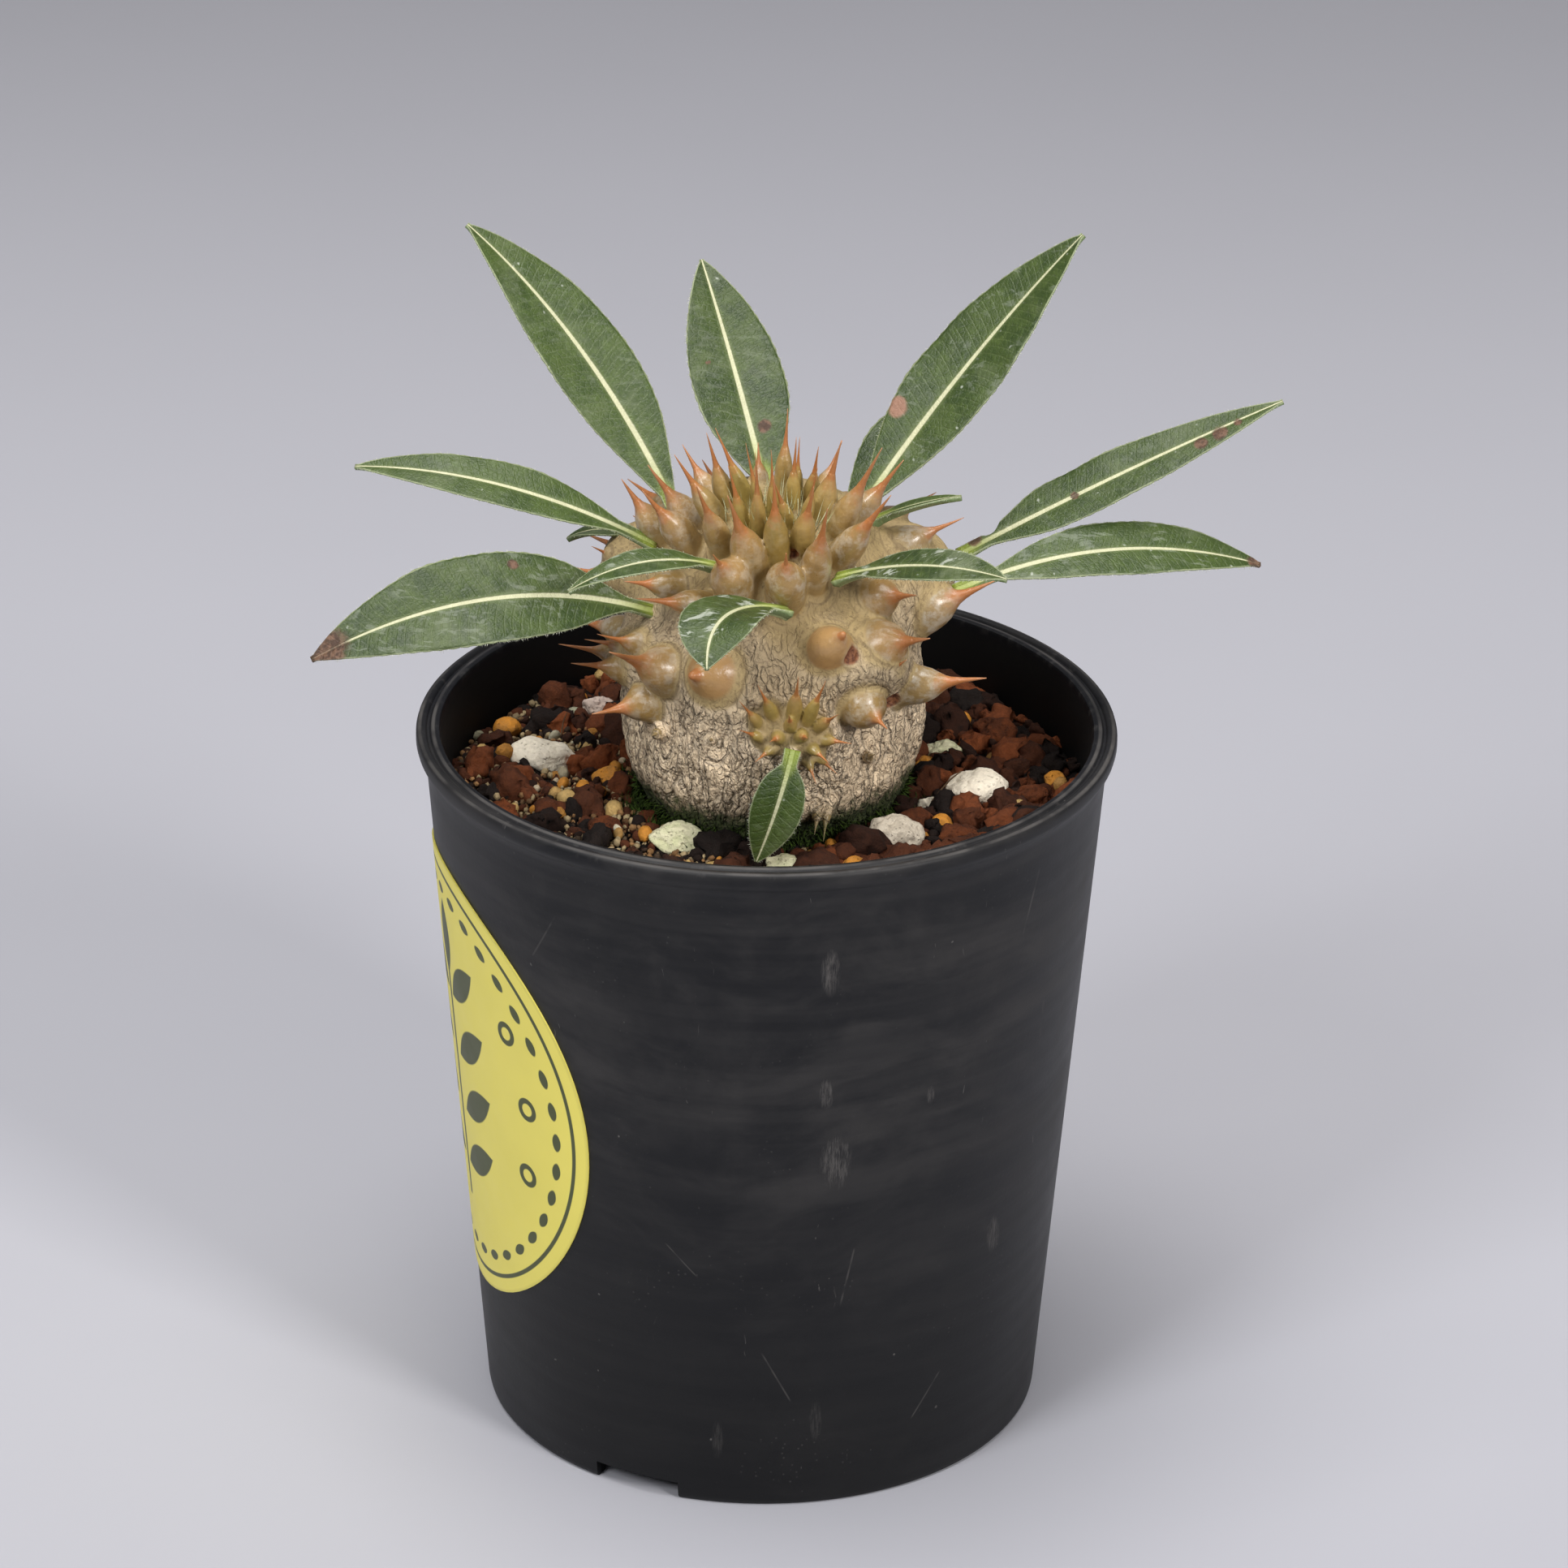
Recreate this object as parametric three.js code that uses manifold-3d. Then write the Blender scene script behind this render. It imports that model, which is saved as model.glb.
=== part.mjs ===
// A potted pachypodium: a thorny swollen trunk in gritty soil, in a round plastic nursery pot.
// Millimetres, +Z up. The pot stands on z = 0.

import * as THREE from 'three';
import { mergeVertices } from 'three/addons/utils/BufferGeometryUtils.js';
import Module from 'manifold-3d';

// Driving dimensions

const POT_HEIGHT = 84.3;
const POT_RIM_RADIUS = 40;
const POT_RIM_DEPTH = 2.2;
const POT_RIM_WIDTH = 2.8;
const POT_RIM_OVERHANG = 1;
const POT_FOOT_RADIUS = 32.4;
const POT_WALL = 1.6;
const POT_SIDES = 48;
const POT_EDGE = 0.4;
const RIM_FILLET = 1.2;
const RIM_GROOVE_WIDTH = 0.8;
const FOOT_RING_WIDTH = 2;
const BASE_PLATE_RISE = 2.5;
const BASE_PLATE = 1.5;
const FOOT_NOTCH_WIDTH = 10.5;
const FOOT_NOTCH_HEIGHT = 2.2;
const FOOT_NOTCH_ANGLES = [-116, 4, 124];
const DRAIN_HOLE_RADIUS = 4;
const DRAIN_HOLE_CIRCLE = 17;

const LABEL_RADIUS = 28;
const LABEL_THICKNESS = 0.6;
const LABEL_HEIGHT = 44;
const LABEL_ANGLE = 194;

const SOIL_LEVEL = 75.3;
const SOIL_RELIEF = 1.1;
const SOIL_RINGS = 11;
const SOIL_EDGE = 3;

const GAP = 0.3;

const LEAF_THICKNESS = 0.7;
const LEAF_RIB = 0.35;
const PETIOLE_WIDTH = 2;

// The pot's axis stands this far left of the middle of the whole plant's box.
const AXIS_X = -3.8;
const AXIS_Y = 0;

const SEED = 7;

const wasm = await Module();
wasm.setup();

// Small tools

function seeded(seed) {
  let state = seed;
  return () => {
    state = (state * 1664525 + 1013904223) % 4294967296;
    return state / 4294967296;
  };
}

function degrees(angle) {
  return THREE.MathUtils.degToRad(angle);
}

function polar(radius, angle, z) {
  return new THREE.Vector3(radius * Math.cos(degrees(angle)), radius * Math.sin(degrees(angle)), z);
}

function signedVolume(positions, index) {
  const a = new THREE.Vector3();
  const b = new THREE.Vector3();
  const c = new THREE.Vector3();
  let sum = 0;
  for (let i = 0; i < index.length; i += 3) {
    a.fromArray(positions, 3 * index[i]);
    b.fromArray(positions, 3 * index[i + 1]);
    c.fromArray(positions, 3 * index[i + 2]);
    sum += a.dot(b.cross(c));
  }
  return sum / 6;
}

// A three.js geometry as a solid, with shared vertices merged and its faces pointing out.
function solid(geometry) {
  const bare = geometry.clone();
  bare.deleteAttribute('normal');
  bare.deleteAttribute('uv');
  const merged = mergeVertices(bare, 1e-4);
  const source = merged.index.array;
  const positions = new Float32Array(merged.attributes.position.array);
  const index = [];
  for (let i = 0; i < source.length; i += 3) {
    const [a, b, c] = [source[i], source[i + 1], source[i + 2]];
    if (a !== b && b !== c && c !== a) index.push(a, b, c);
  }
  if (signedVolume(positions, index) < 0) index.reverse();
  return new wasm.Manifold(new wasm.Mesh({
    numProp: 3,
    vertProperties: positions,
    triVerts: new Uint32Array(index),
  }));
}

// A solid as a three.js geometry again.
function geometryOf(manifold) {
  const mesh = manifold.getMesh();
  const geometry = new THREE.BufferGeometry();
  geometry.setAttribute('position', new THREE.BufferAttribute(new Float32Array(mesh.vertProperties), 3));
  geometry.setIndex(new THREE.BufferAttribute(new Uint32Array(mesh.triVerts), 1));
  return geometry;
}

// The largest body of a geometry. What a cut leaves loose is dropped.
function largestBody(geometry) {
  const index = geometry.index.array;
  const count = geometry.attributes.position.count;
  const leader = Array.from({ length: count }, (_, i) => i);
  const find = (i) => {
    while (leader[i] !== i) i = leader[i];
    return i;
  };
  for (let i = 0; i < index.length; i += 3) {
    for (const j of [i + 1, i + 2]) {
      const [a, b] = [find(index[i]), find(index[j])];
      if (a !== b) leader[Math.max(a, b)] = Math.min(a, b);
    }
  }
  const size = new Map();
  for (let i = 0; i < index.length; i += 3) {
    const body = find(index[i]);
    size.set(body, (size.get(body) || 0) + 1);
  }
  const [largest] = [...size.entries()].sort((p, q) => q[1] - p[1])[0];
  const kept = [];
  for (let i = 0; i < index.length; i += 3) {
    if (find(index[i]) === largest) kept.push(index[i], index[i + 1], index[i + 2]);
  }
  const result = geometry.clone();
  result.setIndex(kept);
  return result;
}

// A profile of [radius, z] points turned round the Z axis.
function turned(profile, sides) {
  const points = profile.map(([radius, z]) => new THREE.Vector2(radius, z));
  const geometry = new THREE.LatheGeometry(points, sides);
  geometry.rotateX(Math.PI / 2);
  return geometry;
}

function moveVertices(geometry, rule) {
  const position = geometry.attributes.position;
  const point = new THREE.Vector3();
  for (let i = 0; i < position.count; i += 1) {
    point.fromBufferAttribute(position, i);
    rule(point);
    position.setXYZ(i, point.x, point.y, point.z);
  }
  return geometry;
}

const plant = new THREE.Group();
plant.position.set(AXIS_X, AXIS_Y, 0);

function addPiece(name, geometry, look) {
  const mesh = new THREE.Mesh(geometry, new THREE.MeshStandardMaterial(look));
  mesh.name = name;
  plant.add(mesh);
}

// Pot

const WALL_TOP_RADIUS = POT_RIM_RADIUS - POT_RIM_OVERHANG;
const WALL_TOP = POT_HEIGHT - POT_RIM_DEPTH;
const INNER_BEND = 60;

function wallRadius(z) {
  return POT_FOOT_RADIUS + (WALL_TOP_RADIUS - POT_FOOT_RADIUS) * (z / WALL_TOP);
}

function potProfile() {
  const inner = POT_RIM_RADIUS - POT_RIM_WIDTH;
  const groove = (POT_RIM_RADIUS + inner) / 2;
  const grooveEdge = RIM_GROOVE_WIDTH / 2;
  const grooveFloor = RIM_GROOVE_WIDTH / 4;
  const footInner = POT_FOOT_RADIUS - FOOT_RING_WIDTH;
  const floor = BASE_PLATE_RISE + BASE_PLATE;
  return [
    [0, BASE_PLATE_RISE],
    [footInner - POT_EDGE, BASE_PLATE_RISE],
    [footInner, 0],
    [POT_FOOT_RADIUS - POT_EDGE, 0],
    [wallRadius(2 * POT_EDGE), 2 * POT_EDGE],
    [wallRadius(WALL_TOP - RIM_FILLET), WALL_TOP - RIM_FILLET],
    [WALL_TOP_RADIUS + POT_EDGE, WALL_TOP],
    [POT_RIM_RADIUS, WALL_TOP + 2 * POT_EDGE],
    [POT_RIM_RADIUS, POT_HEIGHT - POT_EDGE],
    [POT_RIM_RADIUS - POT_EDGE, POT_HEIGHT],
    [groove + grooveEdge, POT_HEIGHT],
    [groove + grooveFloor, POT_HEIGHT - POT_EDGE],
    [groove - grooveFloor, POT_HEIGHT - POT_EDGE],
    [groove - grooveEdge, POT_HEIGHT],
    [inner + POT_EDGE, POT_HEIGHT],
    [inner, POT_HEIGHT - POT_EDGE],
    [wallRadius(INNER_BEND) - POT_WALL, INNER_BEND],
    [wallRadius(floor) - POT_WALL, floor],
    [0, floor],
  ];
}

function footNotch(angle) {
  const depth = 4 * FOOT_RING_WIDTH;
  const box = new THREE.BoxGeometry(depth, FOOT_NOTCH_WIDTH, 2 * FOOT_NOTCH_HEIGHT);
  box.translate(POT_FOOT_RADIUS, 0, 0);
  box.rotateZ(degrees(angle));
  return solid(box);
}

function drainHole(reach, angle) {
  const sides = 12;
  const hole = new THREE.CylinderGeometry(DRAIN_HOLE_RADIUS, DRAIN_HOLE_RADIUS, 6 * BASE_PLATE, sides);
  hole.rotateX(Math.PI / 2);
  const place = polar(reach, angle, BASE_PLATE_RISE);
  hole.translate(place.x, place.y, place.z);
  return solid(hole);
}

function pot() {
  let body = solid(turned(potProfile(), POT_SIDES));
  for (const angle of FOOT_NOTCH_ANGLES) body = body.subtract(footNotch(angle));
  body = body.subtract(drainHole(0, 0));
  for (let angle = 0; angle < 360; angle += 60) body = body.subtract(drainHole(DRAIN_HOLE_CIRCLE, angle));
  return geometryOf(body);
}

addPiece('pot', pot(), { color: 0x17181a, roughness: 0.55, metalness: 0 });

// Label: a round sticker bent round the wall, as columns of points from edge to edge

function label() {
  const columns = 12;
  const rows = 4;
  const blunt = 0.35;
  const positions = [];
  const index = [];
  const layer = (columns + 1) * (rows + 1);
  for (const side of [0, 1]) {
    for (let i = 0; i <= columns; i += 1) {
      const across = -Math.cos(Math.PI * (i + blunt) / (columns + 2 * blunt)) * LABEL_RADIUS;
      const reach = Math.sqrt(LABEL_RADIUS ** 2 - across ** 2);
      for (let j = 0; j <= rows; j += 1) {
        const up = reach * (2 * j / rows - 1);
        const z = LABEL_HEIGHT + up;
        const radius = wallRadius(z) + GAP + side * LABEL_THICKNESS;
        const angle = LABEL_ANGLE + THREE.MathUtils.radToDeg(across / wallRadius(LABEL_HEIGHT));
        positions.push(...polar(radius, angle, z).toArray());
      }
    }
  }
  const at = (side, i, j) => side * layer + i * (rows + 1) + j;
  const quad = (a, b, c, d) => index.push(a, b, c, a, c, d);
  for (let i = 0; i < columns; i += 1) {
    for (let j = 0; j < rows; j += 1) {
      quad(at(1, i, j), at(1, i + 1, j), at(1, i + 1, j + 1), at(1, i, j + 1));
      quad(at(0, i, j), at(0, i, j + 1), at(0, i + 1, j + 1), at(0, i + 1, j));
    }
    quad(at(0, i, 0), at(0, i + 1, 0), at(1, i + 1, 0), at(1, i, 0));
    quad(at(0, i + 1, rows), at(0, i, rows), at(1, i, rows), at(1, i + 1, rows));
  }
  for (let j = 0; j < rows; j += 1) {
    quad(at(0, 0, j + 1), at(0, 0, j), at(1, 0, j), at(1, 0, j + 1));
    quad(at(0, columns, j), at(0, columns, j + 1), at(1, columns, j + 1), at(1, columns, j));
  }
  const geometry = new THREE.BufferGeometry();
  geometry.setAttribute('position', new THREE.Float32BufferAttribute(positions, 3));
  geometry.setIndex(index);
  return geometry;
}

addPiece('label', label(), { color: 0xded24e, roughness: 0.5, metalness: 0 });

// Caudex: trunk, taproot, side heads, sprout and thorns, grown as one piece

// Radius of the trunk at each height, [height, radius].
const TRUNK = [
  [34, 1.2], [45, 4], [56, 7.5], [65, 10.5], [73, 13.2], [77, 15], [81, 16.6], [86, 17.3], [91, 17],
  [96, 16], [101, 14.6], [106, 12.6], [109, 10.6], [111.3, 7.5], [112.6, 4],
];
const TRUNK_X = 0.5;
const TRUNK_SIDES = 28;
const TRUNK_TIPS = [33, 113];
const TRUNK_SWELL = 0.02;

// Swellings of the trunk: the two side heads, the cushions under the thorns and the sprout's foot.
const LUMPS = [
  { at: [15, 3, 101.5], size: [6.2, 6.5, 6] },
  { at: [-13.5, 4, 102], size: [5.5, 6, 5] },
  { at: [-12.5, -5, 95], size: [4.5, 5, 4] },
  { at: [3, -15.8, 90.8], size: [4.2, 3.4, 3.4] },
  { at: [9, -11, 97.5], size: [7, 6, 4.5] },
  { at: [1, 7, 103], size: [8, 6, 5] },
];

// Thorns as [where it leaves the bark, where its needle ends, thickness of its body].
const CROWN_THORNS = [
  [[-12, -1, 107.5], [-16.5, -2, 115], 3.6],
  [[-9, -7, 109.5], [-14, -10, 117], 3.6],
  [[-8, -4, 109.8], [-13.5, -5, 118], 3.6],
  [[-5.5, -6, 111.5], [-10.5, -8, 120.5], 2.8],
  [[-5, -9, 109.5], [-8, -13, 119], 3],
  [[-4.5, -3, 112], [-7, -4, 121.5], 2.4],
  [[-2, -4, 112.5], [-6, -5, 122.5], 2.4],
  [[-2.5, -8, 111], [-4.5, -11, 120.5], 2.4],
  [[-1, -9, 110.5], [-1.5, -12, 122.5], 2.2],
  [[-1.5, -11, 108], [-4.5, -16, 119], 4],
  [[1, -10.5, 109], [0.5, -15, 121], 3],
  [[2.5, -7.5, 111.5], [0.5, -10, 118.5], 2],
  [[3.5, -9.5, 110], [5, -13, 119], 2.8],
  [[5, -11, 106.5], [6.5, -17, 118], 3.6],
  [[1.5, 0.5, 112.5], [2, 1, 122.5], 2.4],
  [[2.5, -4, 112], [3, -5, 121.5], 2.4],
  [[4.5, -2.5, 112], [5.5, -4, 120], 2.4],
  [[5.5, -5, 111], [8, -7, 122], 3],
  [[7, -6, 109.5], [12.5, -9, 122], 3.2],
  [[9, -2, 109.5], [15, -4, 118.5], 3.4],
  [[7.5, -8, 107.5], [13.5, -13, 118], 3.6],
  [[-3, -12, 105.5], [-6, -18.5, 113], 4.6],
  [[2, -12.5, 105], [2, -19, 113.5], 4.6],
  [[-6, -12, 104], [-14.5, -17, 107], 3.4],
  [[-6, 2, 110.5], [-9.8, 3.5, 117], 2.8],
  [[-1, 4, 111], [-1.3, 5.5, 116.5], 2.4],
  [[5.5, 2, 110.5], [8.2, 4, 117.5], 2.6],
];
const FLANK_THORNS = [
  [[-10, -8, 104.5], [-16, -10, 106], 3],
  [[-10, -11, 95], [-17.5, -17, 100.5], 5],
  [[-7.5, -13, 93.5], [-8.5, -21, 98.5], 7],
  [[-12, -10, 91.5], [-19.5, -15, 92], 4],
  [[13.5, 0, 106], [22, 1, 109.5], 3],
  [[16, -1, 98], [25.5, -3, 103.5], 5],
  [[11.5, -8, 103.5], [16.5, -13, 106], 4.2],
  [[6, -14, 98], [8, -22, 104.5], 5.2],
  [[11.5, -12, 99.5], [18, -18, 103], 5],
  [[14.5, -9, 93], [24.5, -13, 96], 4.4],
  [[10, -14, 91], [14, -20, 93], 4.6],
  [[-16, 2, 103], [-20, 1, 105.5], 1.8],
  [[-17.5, 1, 101.5], [-22.5, 0, 103.5], 1.8],
  [[-14.5, -5, 94.5], [-23.5, -6, 96.5], 2.6],
  [[-14.5, -7, 94], [-22, -9, 95.5], 3],
  [[-14, -6, 96], [-20.5, -8, 98], 2.4],
  [[-13, -8, 97], [-19, -11, 100], 2.4],
  [[12.5, -11.5, 95], [15.5, -16, 99.5], 2.6],
];
const SPROUT_THORNS = [
  [[-0.5, -18, 92], [-3, -21, 96.5], 1.4],
  [[1, -18, 93], [-1, -21, 98.5], 1.6],
  [[3, -18.5, 93.5], [3.5, -22, 100], 1.8],
  [[4.5, -18.5, 93], [6.5, -22, 99.5], 1.6],
  [[5.5, -18, 92], [8, -22, 95.5], 1.6],
  [[5.5, -17.5, 90.5], [9.5, -20, 91], 1.6],
  [[0, -18, 90.5], [-3, -21, 93], 1.4],
  [[5, -17.5, 89], [8, -18.5, 86.5], 1.4],
];

// The far side isn't in the photograph, so its thorns are spread by a rule: rows at these heights,
// with this many thorns of this thickness, over these angles round the trunk.
const REAR_ROWS = [[105.5, 5, 3.4], [101, 6, 3.8], [96, 6, 4.2], [91.5, 5, 4]];
const REAR_FROM = 22;
const REAR_TO = 158;
const REAR_LENGTH = 9;
const REAR_LEAN = 8;
const REAR_DROOP_PER_ROW = 5;

function trunkRadius(z) {
  for (let i = 1; i < TRUNK.length; i += 1) {
    const [lowZ, lowRadius] = TRUNK[i - 1];
    const [highZ, highRadius] = TRUNK[i];
    if (z <= highZ) return lowRadius + (highRadius - lowRadius) * (z - lowZ) / (highZ - lowZ);
  }
  return 0;
}

// Spare thickens the trunk, for cutting its hole in the soil.
function trunk(spare = 0) {
  const wall = TRUNK.map(([z, radius]) => [radius + spare, z]);
  const profile = [[0, TRUNK_TIPS[0] - spare], ...wall, [0, TRUNK_TIPS[1]]];
  const geometry = turned(profile, TRUNK_SIDES);
  return moveVertices(geometry, (point) => {
    const angle = Math.atan2(point.y, point.x);
    const cork = Math.sin(9 * angle + 0.25 * point.z) * Math.sin(5 * angle - 0.11 * point.z);
    const swell = 1 + TRUNK_SWELL * (Math.sin(3 * angle + 1) + cork);
    point.x = TRUNK_X + point.x * swell;
    point.y *= swell;
  });
}

function lump({ at, size }) {
  const around = 10;
  const up = 6;
  const geometry = new THREE.SphereGeometry(1, around, up);
  geometry.scale(...size);
  geometry.translate(...at);
  return solid(geometry);
}

// A thorn's outline, as shares of its body's radius and of its length.
const THORN_OUTLINE = [[1, 0.22], [0.62, 0.45], [0.18, 0.72], [0, 1]];
const THORN_ROOT = 1;
const THORN_LONGEST_ROOT = 2.5;
const THORN_ROOT_SHARE = 0.7;

// A thorn: a fat drop-shaped body sunk in the bark, drawn out to a needle.
function thorn([base, tip, thickness], sides = 5) {
  const from = new THREE.Vector3(...base);
  const along = new THREE.Vector3(...tip).sub(from);
  const length = along.length();
  const radius = thickness / 2;
  const root = Math.min(THORN_LONGEST_ROOT, THORN_ROOT + radius);
  const outline = THORN_OUTLINE.map(([wide, far]) => [wide * radius, far * length]);
  const geometry = turned([[0, -root], [THORN_ROOT_SHARE * radius, -root], ...outline], sides);
  const turn = new THREE.Quaternion().setFromUnitVectors(new THREE.Vector3(0, 0, 1), along.normalize());
  geometry.applyQuaternion(turn);
  geometry.translate(...base);
  return solid(geometry);
}

function rearThorns() {
  const random = seeded(SEED);
  const thorns = [];
  REAR_ROWS.forEach(([z, count, thickness], row) => {
    const step = (REAR_TO - REAR_FROM) / count;
    const stagger = row % 2 ? 0.75 : 0.25;
    for (let i = 0; i < count; i += 1) {
      const angle = REAR_FROM + step * (i + stagger + 0.1 * (random() - 0.5));
      const heading = angle + 0.5 * step * (random() - 0.5);
      const length = REAR_LENGTH + 2 * random();
      const lean = degrees(REAR_LEAN - REAR_DROOP_PER_ROW * row + REAR_LEAN * random());
      const base = polar(trunkRadius(z) - 0.5, angle, z);
      const tip = base.clone().add(polar(length * Math.cos(lean), heading, length * Math.sin(lean)));
      thorns.push([base.toArray(), tip.toArray(), thickness]);
    }
  });
  return thorns;
}

function caudex() {
  let body = solid(trunk());
  for (const part of LUMPS) body = body.add(lump(part));
  for (const one of [...CROWN_THORNS, ...FLANK_THORNS]) body = body.add(thorn(one));
  for (const one of SPROUT_THORNS) body = body.add(thorn(one, 4));
  for (const one of rearThorns()) body = body.add(thorn(one, 4));
  return body;
}

// Leaves

// Each leaf runs in a bow from its base to its tip. The bow is how far its middle stands off the
// straight line, the roll turns it about its own rib, and the fold lifts its two halves.
const LEAVES = [
  {
    name: 'leaf_up_left', base: [-10.6, 3, 109.5], tip: [-34.5, 20, 137], bow: [1, 2.5, 1],
    width: 10, widest: 0.48, roll: -22, fold: 8, stalk: 0.8,
  },
  {
    name: 'leaf_up_middle', base: [-0.5, 3.5, 112.5], tip: [-8, 24, 131.5], bow: [0, 1, 0.3],
    width: 10.8, widest: 0.42, roll: -5, fold: 8, stalk: 0.8,
  },
  {
    name: 'leaf_up_right', base: [10.3, 4.2, 108.9], tip: [35, 16, 138], bow: [-0.6, 2, -0.2],
    width: 11, widest: 0.5, roll: 20, fold: 8, stalk: 0.8,
  },
  {
    name: 'leaf_up_right_rear', base: [9, 8.2, 107.8], tip: [25.5, 22, 121], bow: [0, 1, 0],
    width: 9.6, widest: 0.45, roll: 5, fold: 8, stalk: 0.8,
  },
  {
    name: 'leaf_left_high', base: [-12.5, -3, 107.5], tip: [-46.5, 0, 115.5], bow: [0, -1.5, 3],
    width: 6.4, widest: 0.5, roll: -25, fold: 8,
  },
  {
    name: 'leaf_left_high_rear', base: [-15, 4, 105.5], tip: [-23, 6, 104.5], bow: [0, 0, 1],
    width: 4, widest: 0.5, roll: 0, fold: 8,
  },
  {
    name: 'leaf_left_low', base: [-12, -6, 100.5], tip: [-50.5, -18, 99.7], bow: [0.5, -1.5, 5.2],
    width: 11.4, widest: 0.52, roll: -38, fold: 6,
  },
  {
    name: 'leaf_left_short', base: [-5, -13.5, 109.5], tip: [-22, -20, 109.2], bow: [0, -1, 2.5],
    width: 4.4, widest: 0.5, roll: -12, fold: 6,
  },
  {
    name: 'leaf_front_bent', base: [2.5, -16.5, 105.8], tip: [-6.5, -28, 103.5], bow: [-2.5, 0, 2.8],
    width: 9, widest: 0.55, roll: 0, fold: 8,
  },
  {
    name: 'leaf_right_short', base: [7.3, -12.2, 107.8], tip: [26, -24, 113], bow: [0, 0, 1.5],
    width: 5.6, widest: 0.55, roll: 18, fold: 6,
  },
  {
    name: 'leaf_right_high', base: [21.5, 5, 103.2], tip: [58, 10, 120.5], bow: [0, 0, 0.5],
    width: 7, widest: 0.42, roll: 28, fold: 6,
  },
  {
    name: 'leaf_right_low', base: [21, -1.5, 101.6], tip: [56, 5, 102.5], bow: [0, 0, 3.4],
    width: 7.6, widest: 0.55, roll: 28, fold: 6,
  },
  {
    name: 'leaf_right_tiny', base: [11.3, 0.3, 109.4], tip: [21.5, -2, 113.5], bow: [0, 0, 0.5],
    width: 2.6, widest: 0.5, roll: 0, fold: 8,
  },
  {
    name: 'leaf_sprout', base: [3, -20.2, 90.3], tip: [-1, -22.5, 77.4], bow: [0.3, -1.2, 0.5],
    width: 5.8, widest: 0.5, roll: 0, fold: 8, facing: [0.1, -1, 0.3],
  },
];
const LEAF_STEPS = 9;
const LEAF_COLUMNS = [-1, -0.5, 0, 0.5, 1];

const TIP_WIDTH = 0.5;
const STALK_LENGTH = 0.3;
const LEAF_POINT = 0.992;
const LEAF_FULLNESS = 0.8;

// Half the leaf's width at a share t of its length, from a narrow stalk to a pointed tip.
function bladeHalf({ width, widest, stalk = 0.3 }, t) {
  const shift = Math.log(0.5) / Math.log(widest);
  const narrow = THREE.MathUtils.lerp(stalk, 1, THREE.MathUtils.smoothstep(t, 0, STALK_LENGTH));
  const wave = Math.sin(Math.PI * Math.pow(Math.min(t, LEAF_POINT), shift));
  const full = narrow * Math.pow(wave, LEAF_FULLNESS) * width / 2;
  return Math.max(full, THREE.MathUtils.lerp(PETIOLE_WIDTH, TIP_WIDTH, t) / 2);
}

// A leaf as two like grids of points, top and underside. Spare thickens it, for cutting its seat.
function blade(leaf, spare = 0) {
  const base = new THREE.Vector3(...leaf.base);
  const tip = new THREE.Vector3(...leaf.tip);
  const control = base.clone().add(tip).multiplyScalar(0.5).addScaledVector(new THREE.Vector3(...leaf.bow), 2);
  const rib = new THREE.QuadraticBezierCurve3(base, control, tip);
  const steps = LEAF_STEPS;
  const columns = LEAF_COLUMNS.length;
  const last = columns - 1;
  const top = [];
  const under = [];
  for (let i = 0; i <= steps; i += 1) {
    const t = i / steps;
    const centre = rib.getPoint(t);
    const along = rib.getTangent(t);
    if (i === 0) centre.addScaledVector(along, -spare);
    if (i === steps) centre.addScaledVector(along, spare);
    const side = along.clone().cross(new THREE.Vector3(...(leaf.facing || [0, 0, 1]))).normalize();
    side.applyAxisAngle(along, degrees(leaf.roll));
    const up = side.clone().cross(along).normalize();
    const half = bladeHalf(leaf, t) + spare;
    const lift = Math.tan(degrees(leaf.fold)) * Math.min(1, 4 * t);
    for (const column of LEAF_COLUMNS) {
      const out = column * half;
      const raise = Math.abs(out) * lift;
      const thick = LEAF_THICKNESS + (column === 0 ? LEAF_RIB : 0) + spare;
      const point = centre.clone().addScaledVector(side, out).addScaledVector(up, raise);
      top.push(...point.clone().addScaledVector(up, spare).toArray());
      under.push(...point.clone().addScaledVector(up, -thick).toArray());
    }
  }
  const count = (steps + 1) * columns;
  const index = [];
  const at = (layer, i, j) => layer * count + i * columns + j;
  const quad = (a, b, c, d) => index.push(a, b, c, a, c, d);
  for (let i = 0; i < steps; i += 1) {
    for (let j = 0; j < columns - 1; j += 1) {
      quad(at(0, i, j), at(0, i, j + 1), at(0, i + 1, j + 1), at(0, i + 1, j));
      index.push(at(1, i, j), at(1, i + 1, j + 1), at(1, i, j + 1));
      index.push(at(1, i, j), at(1, i + 1, j), at(1, i + 1, j + 1));
    }
    quad(at(0, i + 1, 0), at(1, i + 1, 0), at(1, i, 0), at(0, i, 0));
    quad(at(0, i, last), at(1, i, last), at(1, i + 1, last), at(0, i + 1, last));
  }
  for (let j = 0; j < columns - 1; j += 1) {
    quad(at(0, 0, j), at(1, 0, j), at(1, 0, j + 1), at(0, 0, j + 1));
    quad(at(0, steps, j + 1), at(1, steps, j + 1), at(1, steps, j), at(0, steps, j));
  }
  const geometry = new THREE.BufferGeometry();
  geometry.setAttribute('position', new THREE.Float32BufferAttribute([...top, ...under], 3));
  geometry.setIndex(index);
  return geometry;
}

// Stones no wider than this have the fewest faces.
const SMALL_STONE = 3.1;

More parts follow.
